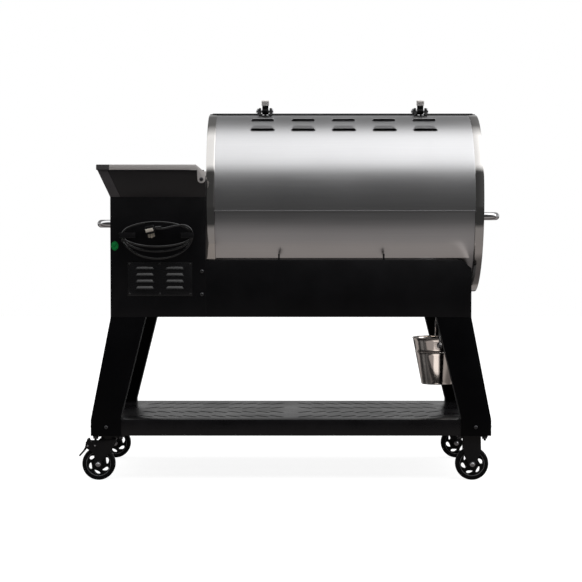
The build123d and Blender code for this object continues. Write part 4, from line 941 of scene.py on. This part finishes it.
# A small oval quality sticker on the rear wall, with a plain tick.
SX, SZ = 0.5355, 0.7185
prism("sticker", oval(SX, SZ, 0.0106, 0.0138, 72), 0.28905, 0.28925, "Y", "green", "frame", bevel=0.00005)
PRINT = (0.28924, 0.28934)      # the print's back and front
verts, faces = [], []
for h in PRINT:
    for s in (1.0, 0.9):
        verts += [(p.x, h, p.y) for p in oval(SX, SZ, 0.0088 * s, 0.0117 * s, 72)]
for i in range(72):
    j = (i + 1) % 72
    for a, b in ((0, 72), (144, 216), (0, 144), (72, 216)):
        faces.append((a + i, a + j, b + j, b + i))
piece("sticker_ring", verts, faces, "dark_green", "frame")
tick = [(5.2, 0.8), (1.4, -4.2), (-5.8, 5), (-4.6, 6.2), (1.3, -1.6), (4.2, 2)]
tick = [(SX + x / 1000, SZ + z / 1000) for x, z in tick]
prism("sticker_tick", tick, *PRINT, "Y", "dark_green", "frame", bevel=0.0)

# ---------------- casters
tread = [(38.2, 15), (38.8, 15.8), (45.5, 16), (47.5, 15.2), (49.3, 13.2), (50.3, 10), (50.7, 6)]
tread = [(r, -h) for r, h in tread] + [(50.8, 0)] + tread[::-1]
boss = [(5.05, 18.4), (10.8, 18.4), (11.8, 17.8), (12, 16), (12.4, 10)]
boss = [(r, -h) for r, h in boss] + boss[::-1]
grey = ((35.8, 12.8), (36.1, 14.6), (36.6, 15.4), (37.8, 15.4), (38.3, 14.6), (38.5, 12), (35.8, 12))


def opening(angle, lean, skew):
    """One swept opening of the hub: a bowed oval, fuller at one end."""
    mid = Vector((cos(angle), sin(angle))) * 0.0258
    out = []
    for i in range(36):
        t = 2 * pi * i / 36
        u = 0.0108 * cos(t)
        w = 0.005 * sin(t) * (1 - 0.3 * cos(t) * skew) - 0.0016 * (1 - cos(t) ** 2)
        out.append(mid + Vector((cos(lean) * u - sin(lean) * w, sin(lean) * u + cos(lean) * w)))
    return out


def wheel(tag, x, y, skew, first, lean):
    """Soft tread on a moulded hub with six swept openings and a grey ring."""
    body, c = "wheel_" + tag, Vector((x, y, AXLE_Z))
    lathe(f"wheel_tread_{tag}", tread, c, (0, 1, 0), "tyre", body, 112, (body,))
    for s, side in ((1, "a"), (-1, "b")):
        lathe(f"wheel_ring_{tag}_{side}", [(r, s * h) for r, h in grey], c, (0, 1, 0), "ring", body, 112)
    lathe(f"wheel_boss_{tag}", boss, c, (0, 1, 0), "hub", body, 56)
    loops = [oval(0, 0, 0.0384, 0.0384, 144), oval(0, 0, 0.0115, 0.0115, 48)]
    for a in range(0, 360, 60):
        loops.append(opening(radians(first + a), radians(first + a + lean), skew))
    plate(f"wheel_web_{tag}", loops, 0.0105, c, "hub", body, 0.0009)


cap = [(0, 0), (7.8, 0), (8, 0.4), (8, 2.2), (7, 2.6), (5.2, 2.8), (5, 4.4), (4, 5.4), (2.2, 5.9), (0, 6)]
rivet = [(0, 0), (3, 0), (3.1, 0.6), (2.6, 1.5), (1.4, 2), (0, 2.1)]
for end, y in (("rear", CASTER_Y), ("front", -CASTER_Y)):
    wheel(f"swivel_{end}", SWIVEL_X, y, 1, 41.5, 110)
    wheel(f"fixed_{end}", FIXED_X, y, -1, 45, 68)
    for s, side in ((1, "a"), (-1, "b")):
        for tag, x, body in ((f"swivel_{end}", SWIVEL_X, f"swivel_{end}"), (f"fixed_{end}", FIXED_X, "frame")):
            lathe(f"axle_cap_{tag}_{side}", cap, (x, y + s * 0.0253, AXLE_Z), (0, s, 0), "zinc", body, 32)
        for m, (x, z) in enumerate(((0.6, 0.108), (0.622, 0.107))):
            lathe(f"brake_rivet_swivel_{end}_{side}{m}", rivet, (x, y + s * 0.0229, z), (0, s, 0), "zinc",
                  f"swivel_{end}", 24)

# ---------------- grease bucket
BX = -0.47


def ramp_points(a, b, steps):
    """Points of a straight taper."""
    return [(a[0] + (b[0] - a[0]) * k / steps, a[1] + (b[1] - a[1]) * k / steps) for k in range(steps + 1)]


pail = [(0, 274), (44, 274), (46.2, 273.2), (47.8, 272.6), (49.6, 272.7), (50.5, 273.8)]
pail += ramp_points((50.5, 274.5), (69.7, 372.8), 14)
pail += [(70 + 1.3 * sin(pi * k / 8), 373.6 + 4.8 * k / 8) for k in range(9)]   # the raised bead
pail += ramp_points((70.7, 379.2), (78.3, 419), 6)
for d in range(0, 271, 30):                                     # the rolled rim
    pail.append((78.6 + 1.8 * sin(radians(d)), 421.2 - 1.8 * cos(radians(d))))
pail += [(77.6, 419)] + ramp_points((77.4, 418.5), (69.7, 379.2), 6)
pail += [(68.8, 372.8), (49.6, 276.5), (48, 275.2), (44, 275), (0, 275)]
lathe("bucket_skin", pail, (BX, 0, 0), (0, 0, 1), "bucket", "bucket", 160, ("bucket",), 40.0)
ear = [(2.1, 0), (6.8, 0), (7.8, 0.3), (8.2, 1), (7.8, 1.6), (6, 1.7), (5.2, 2.4), (4.2, 2.6), (3, 2.2),
       (2.1, 1.2)]
neck = rounded([(BX - 0.006, 0.3915), (BX + 0.006, 0.3915), (BX + 0.0078, 0.4), (BX - 0.0078, 0.4)], 0.002, 4)
for s, side in ((1, "rear"), (-1, "front")):
    lathe(f"bucket_ear_{side}", ear, (BX, s * 0.0776, 0.401), (0, s, 0), "chrome", "bucket", 40)
    prism(f"bucket_ear_plate_{side}", neck, *sorted((s * 0.0745, s * 0.0781)), "Y", "chrome", "bucket",
          bevel=0.0004, slot="zinc")

wire = [(0.0765, 0.401), (0.0785, 0.401)]
wire += [(0.08 + 0.004 * sin(radians(d)), 0.405 - 0.004 * cos(radians(d))) for d in range(0, 91, 10)]
wire += [(0.084, 0.409), (0.084, 0.413)]
wire += [(0.005 + 0.079 * cos(radians(d)), 0.4165 + 0.079 * sin(radians(d))) for d in range(0, 91, 3)]
half = [(BX, y, z) for y, z in wire]
sweep("bail_wire", half + [(x, -y, z) for x, y, z in reversed(half)], 0.002, "zinc", "bail", 14,
      ("bail",))

# ---------------- handles at the two ends
GRIP_R, BEND_R, HALF = 0.0125, 0.03, 0.075
foot = [(12.5, 0), (18.5, 0), (19, 0.6), (18.6, 1.8), (16, 3), (14.2, 4.6), (12.7, 5.2)]


def side_handle(tag, wall_x, way, reach, z):
    """A bent round bar that stands on two feet, reaching out from a wall."""
    out = reach - GRIP_R - BEND_R
    half = [(0.0005, HALF), (0.006, HALF)]
    for k in range(19):
        a = radians(5 * k)
        half.append((out + BEND_R * sin(a), HALF - BEND_R + BEND_R * cos(a)))
    bend = [(d, -y) for d, y in half] + half[::-1]
    pts = [Vector((wall_x + way * d, y, z)) for d, y in bend]
    dense = pts[:1]
    for p, q in zip(pts, pts[1:]):
        steps = 12 if (q - p).length > 0.02 else 1
        dense += [p.lerp(q, k / steps) for k in range(1, steps + 1)]
    for k, y in enumerate((-HALF, HALF)):
        lathe(f"side_handle_foot_{tag}_{k}", foot, (wall_x, y, z), (way, 0, 0), "chrome", "frame", 48)
    return sweep(f"side_handle_{tag}", dense, GRIP_R, "chrome", "frame", 40)


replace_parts(side_handle("hopper_end", 0.5491, 1, 0.066, 0.786), "side_handles")
side_handle("bucket_end", -0.5871, -1, 0.075, 0.81)

# ---------------- power cord
SAGS = (0.071, 0.049, 0.034)    # each turn of the coil hangs less than the one before
gland_at = (0.5075, 0.289, 0.735)
pts = [gland_at, (0.5075, 0.294, 0.735)]
for step in range(30):
    angle = radians(30 * (step - 2))
    rise = -cos(angle)
    drop = 0.04 if rise > 0 else SAGS[min((step + 1) // 12, 2)]
    pts.append((0.4045 - 0.106 * sin(angle), 0.303 + 0.01 * (step + 1) / 12, 0.751 + rise * drop))
tail = pts[-1][1] + 0.003
for x, z in ((0.303, 0.77), (0.322, 0.781), (0.35, 0.779), (0.382, 0.772), (0.404, 0.771)):
    pts.append((x, tail, z))
sweep("cord", smooth_path(pts, 640), 0.0035, "cord", "frame", 16, ("power_cord",))
gland = [(3.7, 0), (7.5, 0), (8, 0.6), (8, 3), (7.2, 3.6), (6.4, 4), (5.8, 10), (5, 10.8), (3.7, 10.8)]
lathe("cord_gland", gland, gland_at, (0, 1, 0), "plastic", "frame", 36)

plug_at = Vector((0.424, tail, 0.766))
turn = Matrix.Rotation(radians(12), 3, "Y")


def plug_block(name, size, centre, mat, radius, levels):
    """A block with round corners, drawn in by `levels`: (part of the height, scale of the outline)."""
    w, d, h = size
    outline = box(-w / 2, w / 2, -d / 2, d / 2, radius, 5)
    verts = []
    for t, s in levels:
        for p in outline:
            verts.append(plug_at + turn @ (Vector(centre) + Vector((p.x * s, p.y * s, (t - 0.5) * h))))
    piece(name, verts, ring_faces(len(outline), len(levels)), mat, "frame", angle=40.0)


SOFT = ((0.0, 0.94), (0.06, 1.0), (0.94, 1.0), (1.0, 0.94))
GRIPPED = ((0.0, 0.8), (0.03, 0.9), (0.1, 0.97), (0.3, 1.0), (0.72, 1.0), (0.76, 0.93), (0.8, 0.93),
           (0.84, 1.0), (0.97, 0.98), (1.0, 0.92))
plug_block("plug_body", (0.03, 0.0158, 0.021), (0, 0, 0.003), "plug", 0.0045, GRIPPED)
plug_block("plug_insert", (0.0235, 0.012, 0.01), (0.0025, 0.003, 0.0008), "cream", 0.0018, SOFT)
plug_block("plug_collar", (0.024, 0.0125, 0.004), (0.0, 0.0, -0.0085), "plug", 0.003, SOFT)
for k, x in enumerate((0.0065, -0.0065)):
    plug_block(f"plug_blade_{k}", (0.0072, 0.0018, 0.013), (x, 0.0, -0.015), "brass", 0.0005,
               ((0.0, 0.7), (0.12, 1.0), (1.0, 1.0)))
earth = [(0, 0), (1.6, 0), (2.3, 1.2), (2.4, 15), (0, 15)]
pin_at = plug_at + turn @ Vector((0, -0.003, -0.024))
lathe("plug_earth_pin", earth, pin_at, turn @ Vector((0, 0, 1)), "brass", "frame", 20)
relief = []
for t in range(7):
    r0, r1, h = 6.2 - 0.3 * t, 4.6 - 0.1 * t, 2.6 * t
    relief += [(r0, h), (r0, h + 1.6), (r1, h + 1.6), (r1, h + 2.6)]
relief += [(3.6, 18.2), (3.6, 0)]
relief_at = plug_at + turn @ Vector((-0.0165, 0, 0.0035))
lathe("plug_strain_relief", relief, relief_at, turn @ Vector((-1, 0, -0.03)), "cord", "frame", 28)

# ---------------- controls on the user's side
PY = -0.2921                    # face of the control panel
KNOB = Vector((0.375, 0.755))
BUTTON = Vector((0.455, 0.755))


def on_panel(x, z, h):
    return Vector((x, PY - h, z))


def glow_material():
    t = Tree("display_digit")
    glow = t.emission(t.mix(t.noise(t.coords(), 300.0, 2.0), (1.0, 0.3, 0.05), (1.0, 0.42, 0.1)), 2.2)
    t.link(glow.outputs[0], t.out.inputs["Surface"])
    return t.mat


M["glow"] = glow_material()
prism("display_module", box(0.3455, 0.4695, 0.7905, 0.8295, 0.003, 5), -0.2915, -0.2893, "Y", "ink", "frame",
      bevel=0.0003, slot="control_plastic")
digits("display_digits", "225", (0.4005, 0.81), 0.021, 0.0032, lambda x, y, h: Vector((x, -0.2915 - h, y)),
       (0.0, 0.00025), "glow", "frame")
prism("display_window", box(0.346, 0.469, 0.791, 0.829, 0.003, 5), -0.2922, -0.2918, "Y", "glass", "frame",
      bevel=0.0001)


def knob_mark(k):
    return (0.0226, 0.0252, 0.0003) if k % 3 else (0.0226, 0.0268, 0.0006)


def round_knob(x, y, h):
    return on_panel(KNOB.x + x, KNOB.y + y, h)


strokes("knob_scale", 240, 300, 12, knob_mark, round_knob, (0.0, 0.00015), "print", "frame")
for value in range(0, 401, 100):
    a = radians(240 - 300 * value / 400)
    digits(f"knob_number_{value}", str(value), (0.0325 * cos(a), 0.0305 * sin(a)), 0.0036, 0.0006, round_knob,
           (0.0, 0.00015), "print", "frame")

grip_rings = ((0.0196, 0.0003), (0.02, 0.001), (0.02, 0.0045), (0.0188, 0.006), (0.0182, 0.015),
              (0.0176, 0.017), (0.016, 0.018), (0.008, 0.0181))
verts = []
for r, h in grip_rings:
    for i in range(120):
        a = 2 * pi * i / 120
        flute = 1.0 - (0.035 * (0.5 + 0.5 * cos(a * 20)) if 0.005 < h < 0.0172 else 0.0)
        verts.append(round_knob(r * flute * cos(a), r * flute * sin(a), h))
piece("knob_cap", verts, ring_faces(120, len(grip_rings)), "plastic", "control_knob", ("control_knob",), 40.0)
shaft = [(0, -14.9), (3, -14.9), (3, 1), (0, 1)]
lathe("knob_shaft", shaft, on_panel(*KNOB, 0), (0, -1, 0), "zinc", "control_knob", 24)
prism("knob_pointer", box(0.374, 0.376, 0.7605, 0.7725, 0.0007, 4), PY - 0.0186, PY - 0.0176, "Y", "print",
      "control_knob", bevel=0.0002)
button = [(0, 3), (5, 3), (7.2, 3.4), (8.4, 3.4), (9, 2.8), (9, -3.1), (11, -3.2), (11, -4.9), (0, -4.9)]
lathe("power_button_cap", button, on_panel(*BUTTON, 0), (0, -1, 0), "plastic", "power_button", 56,
      ("power_button",))
bezel = [(9.25, -0.1), (12.2, -0.1), (12.6, 0.4), (12.4, 1), (11.2, 1.4), (9.8, 1.3), (9.25, 0.8)]
lathe("power_button_bezel", bezel, on_panel(*BUTTON, 0), (0, -1, 0), "chrome", "frame", 64)
verts = []
for k in range(37):
    a = radians(125 + 290 * k / 36)
    for r, h in ((0.003, 0.003), (0.0036, 0.003), (0.0036, 0.00315), (0.003, 0.00315)):
        verts.append(on_panel(BUTTON.x + r * cos(a), BUTTON.y + r * sin(a), h))
piece("power_mark", verts, ring_faces(4, 37), "print", "power_button")
bar = [(0.4547, 0.7565), (0.4553, 0.7565), (0.4553, 0.7595), (0.4547, 0.7595)]
prism("power_mark_bar", bar, PY - 0.00315, PY - 0.003, "Y", "print", "power_button", bevel=0.0)

# ---------------- inside
# What is inside keeps its CAD shape, with its edges broken.
for node, mat, bevel in (
    ("hopper_bin", "galvanised", 0.0), ("auger_tube", "galvanised", 0.0003),
    ("auger_motor", "hot", 0.0008), ("fan_housing", "galvanised", 0.0003), ("fire_pot", "hot", 0.0004),
    ("igniter_rod", "zinc", 0.0004), ("heat_deflector", "hot", 0.0005), ("grease_tray", "iron", 0.0004),
    ("cooking_grates", "enamel", 0.0009), ("drain_tube", "galvanised", 0.0003),
    ("temperature_probe", "chrome", 0.0004),
):
    refine(node, mat, bevel)
keep("bucket_hook", "zinc")
keep("auger_screw", "iron")
keep("fan_impeller", "plastic")

# ---------------- studio
# The sky's brightness by elevation in degrees, from the camera's side up over the top to the far side.
SKY = [(-180, 0.42), (-165, 0.3), (-90, 0.24), (-40, 0.2), (-18, 0.055), (0, 0.055), (41, 0.06),
       (50, 1.3), (97, 1.33), (108, 0.72), (120, 0.2), (150, 0.17), (166, 0.41), (180, 0.42)]
scene = bpy.context.scene
sky = Tree("studio", world=True)
scene.world = sky.mat
way = sky.node("ShaderNodeSeparateXYZ")
sky.link(sky.node("ShaderNodeTexCoord").outputs["Generated"], way.inputs[0])
elevation = sky.span(sky.math("ARCTAN2", way.outputs["Z"], way.outputs["Y"]), 0.0, 1.0, -pi, pi)
bright = sky.node("ShaderNodeBackground")
sky.link(sky.ramp(elevation, [((deg + 180) / 360, v) for deg, v in SKY]), bright.inputs["Color"])
# the soft light is a little stronger towards the bucket end
sky.link(sky.span(way.outputs["X"], 1.0, 1.58, -0.03, -0.23), bright.inputs["Strength"])
white = sky.node("ShaderNodeBackground", Color=(1, 1, 1, 1))
sky.by_ray(white, bright)

FLOOR_SPAN = 4.0                # the floor's tone is given as far as this on each side, in metres
floor_mesh = bpy.data.meshes.new("floor")
floor_mesh.from_pydata([(-9, -9, 0), (9, -9, 0), (9, 9, 0), (-9, 9, 0)], [], [(0, 1, 2, 3)])
floor = bpy.data.objects.new("floor", floor_mesh)
scene.collection.objects.link(floor)
t = Tree("pale_floor")
matt = t.node("ShaderNodeBsdfDiffuse", Color=(0.35, 0.35, 0.35, 1))
pale = t.node("ShaderNodeAddShader")
t.link(t.emission((1, 1, 1), 0.9).outputs[0], pale.inputs[0])
t.link(matt.outputs[0], pale.inputs[1])
# what the object sees of the floor is painted light and shade: a painted shadow right under it, a painted pool
# of light close by, dark further out
place_on_floor = t.node("ShaderNodeSeparateXYZ")
t.link(t.coords(), place_on_floor.inputs[0])
out_y = t.math("DIVIDE", t.math("ABSOLUTE", place_on_floor.outputs["Y"]), FLOOR_SPAN)
t.by_ray(pale, t.emission(t.ramp(out_y, [
    (0.0, (0.1, 0.09, 0.09)), (0.09, (0.13, 0.12, 0.115)), (0.13, (0.31, 0.285, 0.275)),
    (0.36, (0.29, 0.275, 0.27)), (0.44, 0.045), (1.0, 0.045),
])))
floor_mesh.materials.append(t.mat)


def soft_panel(name, at, size, energy, tint, lit=""):
    """An upward area light that the camera does not see; with `lit` it lights only the pieces so named."""
    data = bpy.data.lights.new(name, "AREA")
    data.shape = "RECTANGLE"
    data.size, data.size_y = size
    data.energy = energy
    data.color = tint
    o = bpy.data.objects.new(name, data)
    o.location = at
    o.rotation_euler = (pi, 0, 0)
    o.visible_camera = False
    scene.collection.objects.link(o)
    if lit:
        receivers = bpy.data.collections.new(name + "_receivers")
        for other in scene.objects:
            if other.name.startswith(lit):
                receivers.objects.link(other)
        o.light_linking.receiver_collection = receivers


# A long low fill lifts the barrel's underside, and a card on the floor faces the bucket.
soft_panel("apron_fill", (XM + 0.02, 0.2545, 0.6778), (X1 - X0 - 0.034, 0.066), 0.0545, (1.0, 0.905, 0.85))
soft_panel("bucket_card", (-0.33, 0.7, 0.004), (0.36, 0.28), 0.235, (1.0, 0.94, 0.9), "bucket")

cam = bpy.data.objects.new("camera", bpy.data.cameras.new("camera"))
scene.collection.objects.link(cam)
cam.location = (0.0, 5.517, 0.782)
cam.rotation_euler = (radians(90) - atan(66 / 1720), 0, pi)
cam.data.sensor_width = 36
cam.data.lens = 106.4
cam.data.clip_end = 50
scene.camera = cam
scene.view_settings.view_transform = "Standard"
